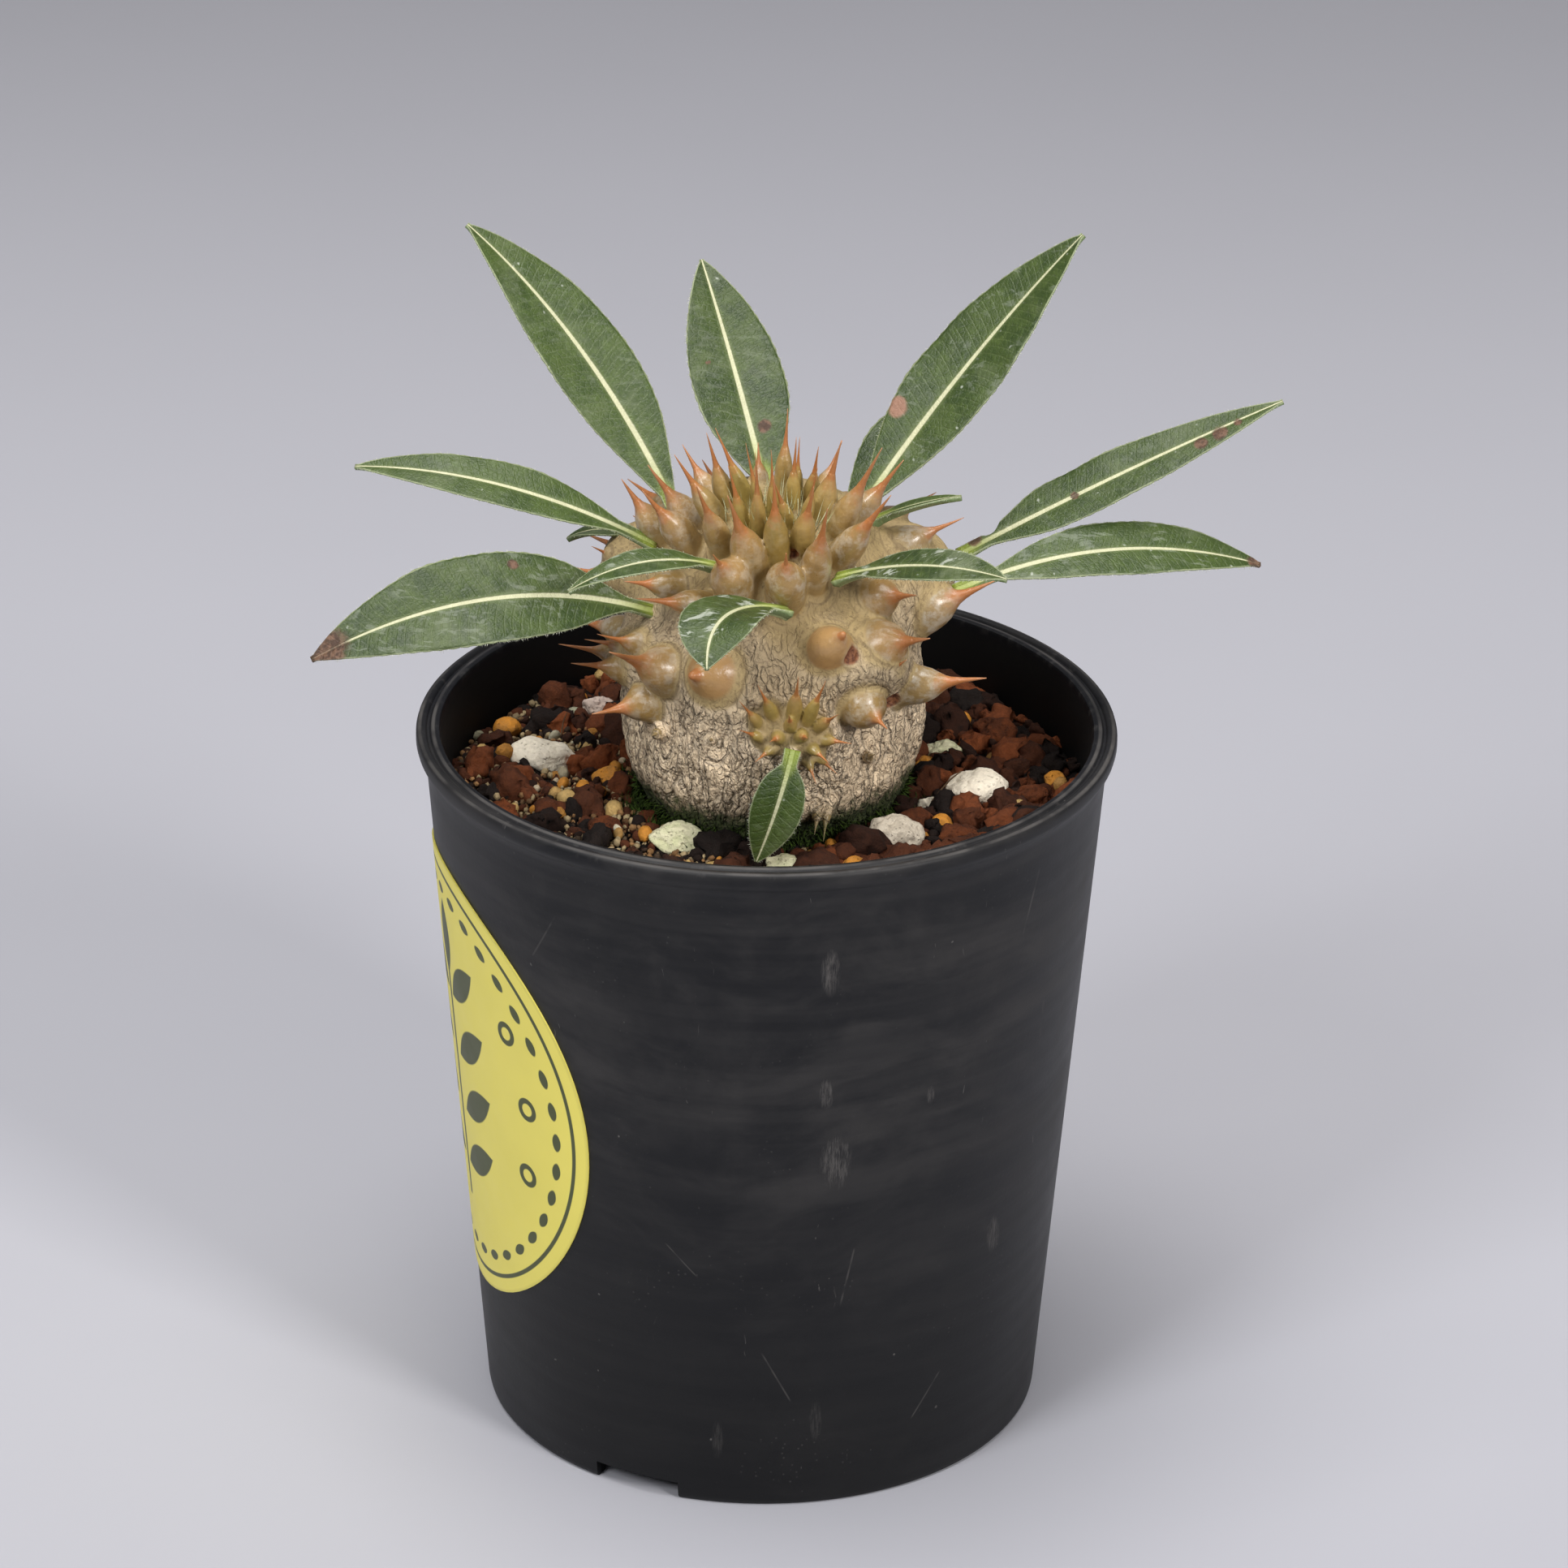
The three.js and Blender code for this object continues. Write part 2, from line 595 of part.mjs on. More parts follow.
// Stones, as [x, y, width, depth, height]. They lie in shallow seats in the soil.
const PALE_STONES = [
  [-25.6, 7.3, 8.2, 5.5, 4.6], [24.1, -0.9, 7, 6.5, 5], [14.8, -13.4, 6, 5.2, 6], [-10, -14.2, 6.8, 5, 4],
  [2.2, -20.3, 5.4, 3.4, 2.6], [20.5, 11, 4.6, 3.6, 2.8], [-19.9, 21.7, 3.8, 3.4, 3],
  [18.6, -3.8, 2.6, 2.4, 2.2],
];
const RED_STONES = [
  [26.5, 15, 5, 5.4, 4.4], [30.4, -1.9, 4.2, 3.4, 3.2], [22, -12.6, 6.2, 3.6, 3], [23.6, 6.6, 3, 3, 2.8],
  [-18, -11, 3.8, 3.2, 2.8],
];
const ORANGE_STONES = [
  [-30.4, 15.5, 3.2, 3, 2.8], [-18.2, 2.6, 3.6, 3.2, 2.8], [18.4, 7, 2.8, 2.4, 2.2],
  [20, -8.6, 2.6, 2.6, 2.2], [9.9, -19.6, 3.4, 2.6, 2], [33.2, 2.8, 2.8, 2.8, 2.4],
  [-3.4, -19, 2.2, 2, 1.8],
];

const STONE_ROUGHNESS = 0.2;
const STONE_TURN = 30;
const STONE_RISE = 0.22;

function roundedLump(detail) {
  const sphere = new THREE.IcosahedronGeometry(1, detail);
  sphere.deleteAttribute('normal');
  sphere.deleteAttribute('uv');
  return mergeVertices(sphere, 1e-4);
}

// Spare thickens a stone, for cutting its seat in the soil.
function stone([x, y, width, depth, height], seed, spare = 0) {
  const random = seeded(seed);
  const geometry = roundedLump(width < SMALL_STONE ? 0 : 1);
  const turn = degrees(STONE_TURN * (random() - 0.5));
  moveVertices(geometry, (point) => {
    point.multiplyScalar(1.06 - STONE_ROUGHNESS * random());
  });
  geometry.scale(width / 2 + spare, depth / 2 + spare, height / 2 + spare);
  geometry.rotateZ(turn);
  geometry.translate(x, y, SOIL_LEVEL + STONE_RISE * height);
  return geometry;
}

const PALE_LOOK = { color: 0xd9d2c0, roughness: 0.95, metalness: 0 };
const RED_LOOK = { color: 0x6a3620, roughness: 0.95, metalness: 0 };
const ORANGE_LOOK = { color: 0xb98a45, roughness: 0.9, metalness: 0 };

function named(kind, sizes, firstSeed, look) {
  return sizes.map((size, i) => ({ name: `stone_${kind}_${i + 1}`, size, seed: firstSeed + i, look }));
}

const stones = [
  ...named('pale', PALE_STONES, 20, PALE_LOOK),
  ...named('red', RED_STONES, 80, RED_LOOK),
  ...named('orange', ORANGE_STONES, 50, ORANGE_LOOK),
];

// Soil: a filling with a lumpy top, a plain hole for the root and seats for the stones

function soilHeight(x, y) {
  const coarse = Math.sin(0.42 * x + 1.3) * Math.sin(0.37 * y - 0.6);
  const fine = Math.sin(1.9 * x + 2.3 * Math.sin(0.7 * y)) * Math.sin(2.1 * y + 1.7 * Math.sin(0.8 * x));
  return SOIL_RELIEF * (0.35 * coarse + 0.65 * fine);
}

function soilTop() {
  const floor = BASE_PLATE_RISE + BASE_PLATE + GAP;
  const wall = (z) => wallRadius(z) - POT_WALL - GAP;
  const edge = wall(SOIL_LEVEL);
  const profile = [[0, floor], [wall(floor), floor], [wall(INNER_BEND), INNER_BEND], [edge, SOIL_LEVEL - 1]];
  for (let i = SOIL_RINGS - 1; i >= 0; i -= 1) profile.push([edge * i / SOIL_RINGS, SOIL_LEVEL]);
  const geometry = turned(profile, POT_SIDES);
  moveVertices(geometry, (point) => {
    if (point.z < SOIL_LEVEL - 0.1) return;
    const fade = Math.min(1, (edge - Math.hypot(point.x, point.y)) / SOIL_EDGE);
    point.z += soilHeight(point.x, point.y) * fade;
  });
  return geometry;
}

function soil() {
  let body = solid(soilTop()).subtract(solid(trunk(GAP + 0.1)));
  for (const { size, seed } of stones) body = body.subtract(solid(stone(size, seed, GAP)));
  return largestBody(geometryOf(body));
}

let trunkBody = caudex();
for (const leaf of LEAVES) trunkBody = trunkBody.subtract(solid(blade(leaf, GAP)));
addPiece('caudex', largestBody(geometryOf(trunkBody)), { color: 0xa89c80, roughness: 0.8, metalness: 0 });
for (const leaf of LEAVES) {
  addPiece(leaf.name, blade(leaf), { color: 0x3f5a2c, roughness: 0.6, metalness: 0 });
}
addPiece('soil', soil(), { color: 0x6b4430, roughness: 1, metalness: 0 });
for (const { name, size, seed, look } of stones) addPiece(name, stone(size, seed), look);

export default plant;
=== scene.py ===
import math
import random

import bpy
import numpy as np
from bpy.props import FloatProperty, FloatVectorProperty, IntProperty, PointerProperty
from mathutils import Matrix, Quaternion, Vector, noise


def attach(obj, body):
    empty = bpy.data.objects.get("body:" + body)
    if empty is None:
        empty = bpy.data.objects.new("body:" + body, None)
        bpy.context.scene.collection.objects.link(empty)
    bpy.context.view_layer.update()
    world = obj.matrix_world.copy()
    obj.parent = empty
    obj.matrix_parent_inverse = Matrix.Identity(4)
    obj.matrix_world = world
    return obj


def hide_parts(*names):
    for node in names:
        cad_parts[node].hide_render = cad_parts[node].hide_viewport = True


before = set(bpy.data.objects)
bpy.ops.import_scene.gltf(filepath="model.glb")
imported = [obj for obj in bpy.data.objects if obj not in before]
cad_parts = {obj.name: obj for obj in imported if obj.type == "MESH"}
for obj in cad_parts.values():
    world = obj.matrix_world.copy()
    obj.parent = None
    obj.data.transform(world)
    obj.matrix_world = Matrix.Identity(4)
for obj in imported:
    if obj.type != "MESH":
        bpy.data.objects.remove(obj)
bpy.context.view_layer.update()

bl_info = {
    "name": "Potted Thorny Caudex",
    "version": (1, 0, 0),
    "blender": (4, 5, 0),
    "location": "View3D > Sidebar > Potted Plant",
    "description": "Builds a thorny caudex plant in a black nursery pot, with leaves and stones",
    "category": "Add Mesh",
}

# Lengths in this file are millimetres measured from the pot's axis, which stands a little to
# the left of the frame's own.
MM = 0.001
AXIS_X = -3.8
# Edges that turn by more than this stay sharp on the pot and the label.
SHARP_TURN = math.radians(38)


# Meshes

def framed(points):
    """Points in the frame's metres."""
    return (np.asarray(points, float) + (AXIS_X, 0, 0)) * MM


def solid(name, points, faces, finish, fields=None, smooth=True):
    """An object made from points in millimetres. Fields are values kept for each point."""
    mesh = bpy.data.meshes.new(name)
    mesh.from_pydata(framed(points).tolist(), [], faces)
    for field, values in (fields or {}).items():
        layer = mesh.attributes.new(field, "FLOAT", "POINT")
        layer.data.foreach_set("value", np.asarray(values, np.float32))
    return shown(name, mesh, finish, smooth)


def shown(name, mesh, finish, smooth=True):
    mesh.name = name
    mesh.materials.clear()
    mesh.materials.append(finish)
    if smooth:
        mesh.shade_smooth()
    piece = bpy.data.objects.new(name, mesh)
    bpy.context.scene.collection.objects.link(piece)
    return piece


def settle(piece, slot, *nodes):
    """Puts a piece on the plant's one body, in the place of the plain solids that it stands for."""
    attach(piece, "root")
    if nodes:
        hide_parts(*nodes)


def polar(radius, angle, z):
    turn = math.radians(angle)
    return np.array([radius * math.cos(turn), radius * math.sin(turn), z])


def turned(outline, sides, closed=True):
    """Points and faces of an outline of (radius, height) turned round the pot's axis."""
    points, rings = [], []
    angles = np.arange(sides) * 2 * math.pi / sides
    for radius, z in outline:
        if radius < 1e-6:
            rings.append([len(points)])
            points.append((0.0, 0.0, z))
            continue
        rings.append(list(range(len(points), len(points) + sides)))
        points += [(radius * math.cos(a), radius * math.sin(a), z) for a in angles]
    faces = []
    pairs = list(zip(rings, rings[1:]))
    if closed and len(rings[0]) > 1:
        pairs.append((rings[-1], rings[0]))
    for low, high in pairs:
        for i in range(sides):
            j = (i + 1) % sides
            if len(low) == 1 and len(high) == 1:
                break
            if len(low) == 1:
                faces.append((low[0], high[j], high[i]))
            elif len(high) == 1:
                faces.append((low[i], low[j], high[0]))
            else:
                faces.append((low[i], low[j], high[j], high[i]))
    return np.array(points), faces


def swept(path, radii, sides=8):
    """A closed tube along a path of points, with a radius at each of them."""
    path = np.asarray(path, float)
    points, faces = [], []
    heading = np.gradient(path, axis=0)
    heading /= np.linalg.norm(heading, axis=1)[:, None]
    spare = np.array([0.0, 0.0, 1.0]) if abs(heading[0][2]) < 0.9 else np.array([1.0, 0.0, 0.0])
    side = np.cross(heading[0], spare)
    for centre, along, radius in zip(path, heading, radii):
        side -= along * np.dot(side, along)
        side /= np.linalg.norm(side)
        up = np.cross(along, side)
        for k in range(sides):
            turn = 2 * math.pi * k / sides
            points.append(centre + radius * (math.cos(turn) * side + math.sin(turn) * up))
    for i in range(len(path) - 1):
        for k in range(sides):
            a, b = i * sides + k, i * sides + (k + 1) % sides
            faces.append((a, b, b + sides, a + sides))
    faces.append(tuple(range(sides))[::-1])
    faces.append(tuple((len(path) - 1) * sides + k for k in range(sides)))
    return np.array(points), faces


def joined(parts):
    """Several (points, faces, fields) as one."""
    faces, count = [], 0
    for points, some, _ in parts:
        faces += [tuple(i + count for i in face) for face in some]
        count += len(points)
    fields = {name: np.concatenate([np.broadcast_to(part[2][name], len(part[0])) for part in parts])
              for name in parts[0][2]}
    return np.concatenate([part[0] for part in parts]), faces, fields


def strips(rows, columns):
    """Faces between closed rings of points that are laid out one after another."""
    return [(i * columns + j, (i + 1) * columns + j, (i + 1) * columns + k, i * columns + k)
            for i in range(rows - 1) for j in range(columns) for k in ((j + 1) % columns,)]


def step(values, low, high):
    """0 below low, 1 above high, smooth between."""
    share = np.clip((np.asarray(values, float) - low) / (high - low), 0, 1)
    return share * share * (3 - 2 * share)


def shade(colour, amount):
    """A colour made lighter or darker, as plain numbers."""
    return tuple(amount * part for part in colour)


def seeded(seed):
    """The plain solids' own rule for chance, so that both put things in the same places."""
    state = seed
    while True:
        state = (state * 1664525 + 1013904223) % 4294967296
        yield state / 4294967296


# Node trees

def operators(operation):
    """An operator and its reflected form, each of which adds a Math node."""
    return (lambda self, other: self.math(operation, self, other),
            lambda self, other: self.math(operation, other, self))


class Link:
    """An output of a node. A sum written with it adds Math nodes."""

    def __init__(self, tree, socket):
        self.tree, self.socket = tree, socket

    def math(self, operation, *values):
        return self.tree.node("ShaderNodeMath", {"operation": operation}, *values)

    __add__, __radd__ = operators("ADD")
    __sub__, __rsub__ = operators("SUBTRACT")
    __mul__, __rmul__ = operators("MULTIPLY")
    __truediv__, __rtruediv__ = operators("DIVIDE")
    __pow__, __rpow__ = operators("POWER")
    __gt__, __lt__ = operators("GREATER_THAN")[0], operators("LESS_THAN")[0]
    least, most = operators("MINIMUM")[0], operators("MAXIMUM")[0]

    def __abs__(self):
        return self.math("ABSOLUTE", self)

    def sine(self):
        return self.math("SINE", self)

    def step(self, low, high):
        """0 below low, 1 above high, smooth between."""
        smooth = {"interpolation_type": "SMOOTHSTEP"}
        return self.tree.node("ShaderNodeMapRange", smooth, self, low, high, 0.0, 1.0)

    def beside(self, name):
        """Another output of the same node."""
        return Link(self.tree, self.socket.node.outputs[name])


class Tree:
    """A node tree, and the one method that adds nodes to it."""

    def __init__(self, tree):
        self.tree = tree

    def node(self, kind, settings=None, *values, out=0, **named):
        """Adds a node. Its settings come first, then its sockets by order or by name."""
        node = self.tree.nodes.new(kind)
        for setting, value in (settings or {}).items():
            if setting == "stops":
                while len(node.color_ramp.elements) < len(value):
                    node.color_ramp.elements.new(1.0)
                for element, (position, colour) in zip(node.color_ramp.elements, value):
                    element.position, element.color = position, (*colour, 1.0)
            else:
                setattr(node, setting, value)
        live = [socket for socket in node.inputs if socket.enabled]
        for socket, value in zip(live, values):
            self.feed(socket, value)
        for name, value in named.items():
            self.feed(next(s for s in live if s.name == name.replace("_", " ")), value)
        sent = [socket for socket in node.outputs if socket.enabled]
        return Link(self, sent[out] if isinstance(out, int) else node.outputs[out])

    def feed(self, socket, value):
        if isinstance(value, Link):
            self.tree.links.new(value.socket, socket)
        elif value is not None:
            if socket.type == "RGBA" and len(value) == 3:
                value = (*value, 1.0)
            socket.default_value = value

    def vector(self, operation, *values, out=0):
        return self.node("ShaderNodeVectorMath", {"operation": operation}, *values, out=out)


class Finish(Tree):
    """A material. Its patterns are laid out in millimetres about the pot's axis."""

    def __init__(self, name, **sockets):
        self.material = bpy.data.materials.new(name)
        self.material.use_nodes = True
        super().__init__(self.material.node_tree)
        self.shader = self.tree.nodes["Principled BSDF"]
        self.set(**sockets)
        self.ground = None

    def set(self, **sockets):
        for name, value in sockets.items():
            self.feed(self.shader.inputs[name.replace("_", " ")], value)
        return self.material

    @property
    def place(self):
        """Where a point lies, in millimetres from the pot's axis."""
        if self.ground is None:
            where = self.node("ShaderNodeTexCoord", out="Object")
            scale = (1 / MM, 1 / MM, 1 / MM)
            shift = (-AXIS_X, 0, 0)
            self.ground = self.node("ShaderNodeMapping", None, where, shift, (0, 0, 0), scale)
        return self.ground

    def axes(self, place=None):
        split = self.node("ShaderNodeSeparateXYZ", None, place or self.place)
        return split, split.beside("Y"), split.beside("Z")

    def field(self, name):
        return self.node("ShaderNodeAttribute", {"attribute_name": name}, out="Fac")

    def fields(self, *names):
        return [self.field(name) for name in names]

    def stretched(self, x, y, z, place=None):
        return self.vector("MULTIPLY", place or self.place, (x, y, z))

    def grain(self, size, detail=2.0, rough=0.5, place=None):
        """Soft noise of a given size, from about 0.3 to 0.7."""
        return self.node("ShaderNodeTexNoise", None, place or self.place, Scale=1 / size,
                         Detail=detail, Roughness=rough)

    def cells(self, size, feature="F1", place=None, out="Distance"):
        """Distances or colours of cells of a given size."""
        return self.node("ShaderNodeTexVoronoi", {"feature": feature}, place or self.place,
                         Scale=1 / size, out=out)

    def warped(self, size, reach, place=None):
        """The place, pushed about by noise."""
        colour = self.node("ShaderNodeTexNoise", None, place or self.place, Scale=1 / size,
                           Detail=2.0, out="Color")
        push = self.vector("SUBTRACT", colour, (0.5, 0.5, 0.5))
        push = self.vector("MULTIPLY", push, (reach, reach, reach))
        return self.vector("ADD", place or self.place, push)

    def blend(self, share, first, second):
        return self.node("ShaderNodeMix", {"data_type": "RGBA"}, share, first, second)

    def toned(self, colour, amount):
        """A colour made lighter or darker by a number."""
        grey = self.node("ShaderNodeCombineXYZ", None, amount, amount, amount)
        settings = {"data_type": "RGBA", "blend_type": "MULTIPLY"}
        return self.node("ShaderNodeMix", settings, 1.0, colour, grey)

    def relief(self, height, depth, under=None):
        """Bumps of a given depth in millimetres, over other bumps if given."""
        bump = self.node("ShaderNodeBump", None, Strength=1.0, Distance=depth * MM, Height=height)
        if under is not None:
            self.feed(bump.socket.node.inputs["Normal"], under)
        return bump


class Growth(Tree):
    """A Geometry Nodes tree with named inputs, which ends in real geometry with one material."""

    def __init__(self, name, **inputs):
        super().__init__(bpy.data.node_groups.new(name, "GeometryNodeTree"))
        face = self.tree.interface
        face.new_socket("Geometry", in_out="INPUT", socket_type="NodeSocketGeometry")
        face.new_socket("Geometry", in_out="OUTPUT", socket_type="NodeSocketGeometry")
        for label, value in inputs.items():
            kind = {int: "Int", float: "Float"}.get(type(value), "Material")
            socket = face.new_socket(label.replace("_", " "), in_out="INPUT",
                                     socket_type=f"NodeSocket{kind}")
            if value is not None:
                socket.default_value = value
        self.inlet = self.tree.nodes.new("NodeGroupInput")
        self.outlet = self.tree.nodes.new("NodeGroupOutput")

    def given(self, name):
        return Link(self, self.inlet.outputs[name])

    def kept(self, name, kind="FLOAT"):
        """A value that the host keeps for each point."""
        return self.node("GeometryNodeInputNamedAttribute", {"data_type": kind}, name)

    def chance(self, low, high, shift=0):
        """A random value or vector, on the tree's own seed moved on by shift."""
        kind = "FLOAT_VECTOR" if isinstance(low, tuple) else "FLOAT"
        seed = self.given("Seed")
        return self.node("FunctionNodeRandomValue", {"data_type": kind}, low, high,
                         Seed=seed + shift if shift else seed)

    def strewn(self, most):
        """Points strewn over the host, thickest where its share is highest."""
        return self.node("GeometryNodeDistributePointsOnFaces", {"distribute_method": "POISSON"},
                         self.given("Geometry"), Distance_Min=self.given("Apart"), Density_Max=most,
                         Density_Factor=self.kept("share"), Seed=self.given("Seed"))

    def spikes(self, spots, heading, size):
        """Thin three-sided cones that stand on points along a heading."""
        lean = self.node("FunctionNodeAlignRotationToVector", {"axis": "Z"}, Vector=heading)
        spike = self.node("GeometryNodeMeshCone", {"fill_type": "NGON"}, Vertices=3, Radius_Top=0.0,
                          Radius_Bottom=self.given("Thickness"), Depth=self.given("Length"))
        return self.node("GeometryNodeInstanceOnPoints", None, spots, Instance=spike, Rotation=lean,
                         Scale=size)

    def tinted(self, instances, shift):
        """The instances, each with a tint of its own."""
        settings = {"data_type": "FLOAT", "domain": "INSTANCE"}
        return self.node("GeometryNodeStoreNamedAttribute", settings, instances, Name="tint",
                         Value=self.chance(0.0, 1.0, shift))

    def end(self, geometry):
        real = self.node("GeometryNodeRealizeInstances", None, geometry)
        real = self.node("GeometryNodeSetMaterial", None, real, Material=self.given("Material"))
        self.feed(self.outlet.inputs[0], real)
        return self.tree


def grown(name, host, tree, finish, smooth=True, **values):
    """Runs a tree on a host object, takes the result as a plain mesh, and drops the host."""
    modifier = host.modifiers.new(name, "NODES")
    modifier.node_group = tree
    values["Material"] = finish
    for item in tree.interface.items_tree:
        label = item.name.replace(" ", "_")
        if item.in_out == "INPUT" and label in values:
            modifier[item.identifier] = values[label]
    host.update_tag()
    graph = bpy.context.evaluated_depsgraph_get()
    mesh = bpy.data.meshes.new_from_object(host.evaluated_get(graph))
    host.modifiers.remove(modifier)
    bpy.data.objects.remove(host)
    return shown(name, mesh, finish, smooth)


# Sizes and colours

def length(name, default, about):
    return FloatProperty(name=name, default=default * MM, description=about, unit="LENGTH",
                         subtype="DISTANCE", precision=5)


def colour(name, default, about):
    parts = [int(default[i:i + 2], 16) / 255 for i in (0, 2, 4)]
    linear = [c / 12.92 if c <= 0.04045 else ((c + 0.055) / 1.055) ** 2.4 for c in parts]
    return FloatVectorProperty(name=name, default=linear, description=about, subtype="COLOR",
                               size=3, min=0, max=1)


class PotSizes(bpy.types.PropertyGroup):
    """The nursery pot and its round label"""
    height: length("Height", 84.3, "From the floor to the top of the rim")
    rim_radius: length("Rim Radius", 40, "Outer radius of the rim")
    rim_depth: length("Rim Depth", 2.2, "Height of the thick band at the rim")
    rim_width: length("Rim Width", 2.8, "Width of the rim seen from above")
    foot_radius: length("Foot Radius", 32.4, "Outer radius at the floor")
    wall: length("Wall", 1.6, "Thickness of the wall")
    notch_width: length("Notch Width", 10.5, "Width of each notch in the foot")
    notch_height: length("Notch Height", 2.2, "Height of each notch in the foot")
    hole_radius: length("Drain Hole Radius", 4, "Radius of each hole in the base")
    sides: IntProperty(name="Sides", default=192, min=24, description="Faces round the pot")
    plastic: colour("Plastic", "0b0c10", "Colour of the black plastic")
    # Used both for dust and scuffs and for the painted sheen on the plastic.
    dust_and_sheen: colour("Dust", "6f6b68", "Colour of dust and scuffs on the plastic")
    label_radius: length("Label Radius", 27.4, "Radius of the round label")
    label_yellow: colour("Label", "f1e36c", "Ground colour of the label")
    label_ink: colour("Label Ink", "2c3b2c", "Colour of the sprig and dots on the label")


class SoilSizes(bpy.types.PropertyGroup):
    """The soil and the stones"""
    level: length("Level", 75.3, "Height of the soil above the floor")
    relief: length("Relief", 1.1, "How far the soil rises and dips")
    lump: length("Lump", 4.4, "Width of the biggest soil lumps")
    seed: IntProperty(name="Seed", default=11, description="Changes where the grains lie")
    red: colour("Red Soil", "5e2f14", "Colour of the red-brown lumps")
    dark: colour("Damp Soil", "1c0f08", "Colour of the damp bed between lumps")
    orange: colour("Orange Stone", "d08a30", "Colour of the orange grains")
    pale: colour("Pale Stone", "f6ebd6", "Colour of the pale stones")
    moss: colour("Moss", "445a18", "Colour of the moss at the plant's foot")


class PlantSizes(bpy.types.PropertyGroup):
    """The caudex, its thorns and its leaves"""
    fineness: length("Fineness", 0.36, "Size of the mesh cells of the bark")
    bark: colour("Bark", "ecd4b2", "Colour of the corky plates")
    cracks: colour("Cracks", "4a3522", "Colour between the corky plates")
    skin: colour("Skin", "b49c6d", "Colour of the smooth skin higher up")
    thorn: colour("Thorn", "90723a", "Colour of a thorn's body")
    needle: colour("Needle", "bd7440", "Colour of a thorn's point")
    young: colour("Young Thorn", "b09d55", "Colour of the youngest thorns")
    leaf: colour("Leaf", "404f22", "Colour of the leaf's upper side")
    leaf_dark: colour("Dark Leaf", "2d3d19", "Colour of the leaf's darker patches")
    rib: colour("Rib", "d0cfa9", "Colour of the midrib")
    stalk: colour("Stalk", "8b9a38", "Colour of the leaf's stalk")


class StageSizes(bpy.types.PropertyGroup):
    """The floor, the lights and the camera"""
    floor: colour("Floor", "b2b2b9", "Colour of the floor")
    lens: FloatProperty(name="Lens", default=154.4, description="Focal length on a 36 mm sensor",
                        unit="CAMERA")
    distance: length("Distance", 770.68, "From the camera to the point it looks at")
    elevation: FloatProperty(name="Elevation", default=math.radians(25.233), subtype="ANGLE",
                             description="Angle of the camera above the horizon")
    roll: FloatProperty(name="Roll", default=math.radians(0.601), subtype="ANGLE",
                        description="Turn about its axis")
    aim_height: length("Aim Height", 76.55, "Height of the point that the camera looks at")
    aim_side: length("Aim Side", 2.034, "How far right of the pot's axis the camera looks")
    light: FloatProperty(name="Light", default=1.0, min=0,
                         description="Strength of all the lamps together")


def pot_sizes():
    return bpy.context.scene.plant_pot


def soil_sizes():
    return bpy.context.scene.plant_soil


def plant_sizes():
    return bpy.context.scene.plant_body


def wall_radius(z):
    """Radius of the pot's outer wall at a height."""
    sizes = pot_sizes()
    top = (sizes.height - sizes.rim_depth) / MM
    foot = sizes.foot_radius / MM
    return foot + (sizes.rim_radius / MM - 1 - foot) * (z / top)


# The pot

POT_AXIS = (AXIS_X * MM, 0, 0)
INNER_BEND = 60
BASE_RISE = 2.5
BASE_PLATE = 1.5
HOLE_CIRCLE = 17
NOTCH_TURN = math.radians(4)
# Rubbed patches on the front of the wall, as side, height, half width and half height.
SCUFFS = ((7.4, 71.4, 1.3, 3.6), (7.1, 55.6, 1.0, 2.6), (8.3, 46.4, 2.2, 4.6),
          (18.8, 53.2, 0.55, 1.5), (6.4, 11.5, 0.9, 3.2), (-4.8, 9.0, 0.8, 3.0),
          (26.5, 30.5, 0.9, 3.0))
# Thin scratches on the front of the wall, as side, height, slope and half height.
SCRATCHES = ((29.6, 73.0, 0.22, 5.0), (31.5, 56.0, 0.05, 3.6), (9.8, 31.0, 0.2, 4.4),
             (2.0, 17.5, -0.5, 4.0), (-24.6, 71.0, 0.42, 4.2), (-9.0, 33.0, -0.9, 2.2),
             (19.0, 12.0, 0.6, 3.0))


def pot_outline():
    """Radius and height of points round the pot's section, from the middle of its underside."""
    sizes = pot_sizes()
    rim, height = sizes.rim_radius / MM, sizes.height / MM
    inner, band = rim - sizes.rim_width / MM, height - sizes.rim_depth / MM
    foot, wall = sizes.foot_radius / MM, sizes.wall / MM
    groove = (rim + inner) / 2
    floor = BASE_RISE + BASE_PLATE
    outline = [(0, BASE_RISE), (10, BASE_RISE), (24, BASE_RISE), (foot - 2.6, BASE_RISE),
               (foot - 2.2, 2.3)]
    outline += [(foot - 2, 1.9), (foot - 2, 0.12), (foot - 1.9, 0), (foot - 0.55, 0),
                (foot - 0.25, 0.1)]
    outline += [(wall_radius(0.4) - 0.06, 0.35), (wall_radius(0.8), 0.8)]
    outline += [(wall_radius(z), z) for z in (4, 16, 28, 40, 52, 64, 72, 78)]
    outline += [(wall_radius(band - 1.2), band - 1.2), (wall_radius(band) + 0.12, band - 0.5)]
    outline += [(wall_radius(band) + 0.45, band), (rim - 0.12, band + 0.45), (rim, band + 0.9)]
    outline += [(rim, height - 0.55), (rim - 0.1, height - 0.2), (rim - 0.3, height - 0.04),
                (rim - 0.5, height)]
    outline += [(groove + 0.45, height - 0.02), (groove + 0.3, height - 0.14),
                (groove + 0.15, height - 0.34)]
    outline += [(groove - 0.15, height - 0.34), (groove - 0.3, height - 0.14),
                (groove - 0.45, height - 0.02)]
    outline += [(inner + 0.4, height), (inner + 0.15, height - 0.1), (inner, height - 0.4)]
    outline += [(wall_radius(76) - wall - 0.05, 76), (wall_radius(68) - wall, 68)]
    outline += [(wall_radius(INNER_BEND) - wall, INNER_BEND), (wall_radius(30) - wall, 30)]
    outline += [(wall_radius(floor + 1) - wall, floor + 1),
                (wall_radius(floor) - wall - 0.6, floor), (0, floor)]
    return outline


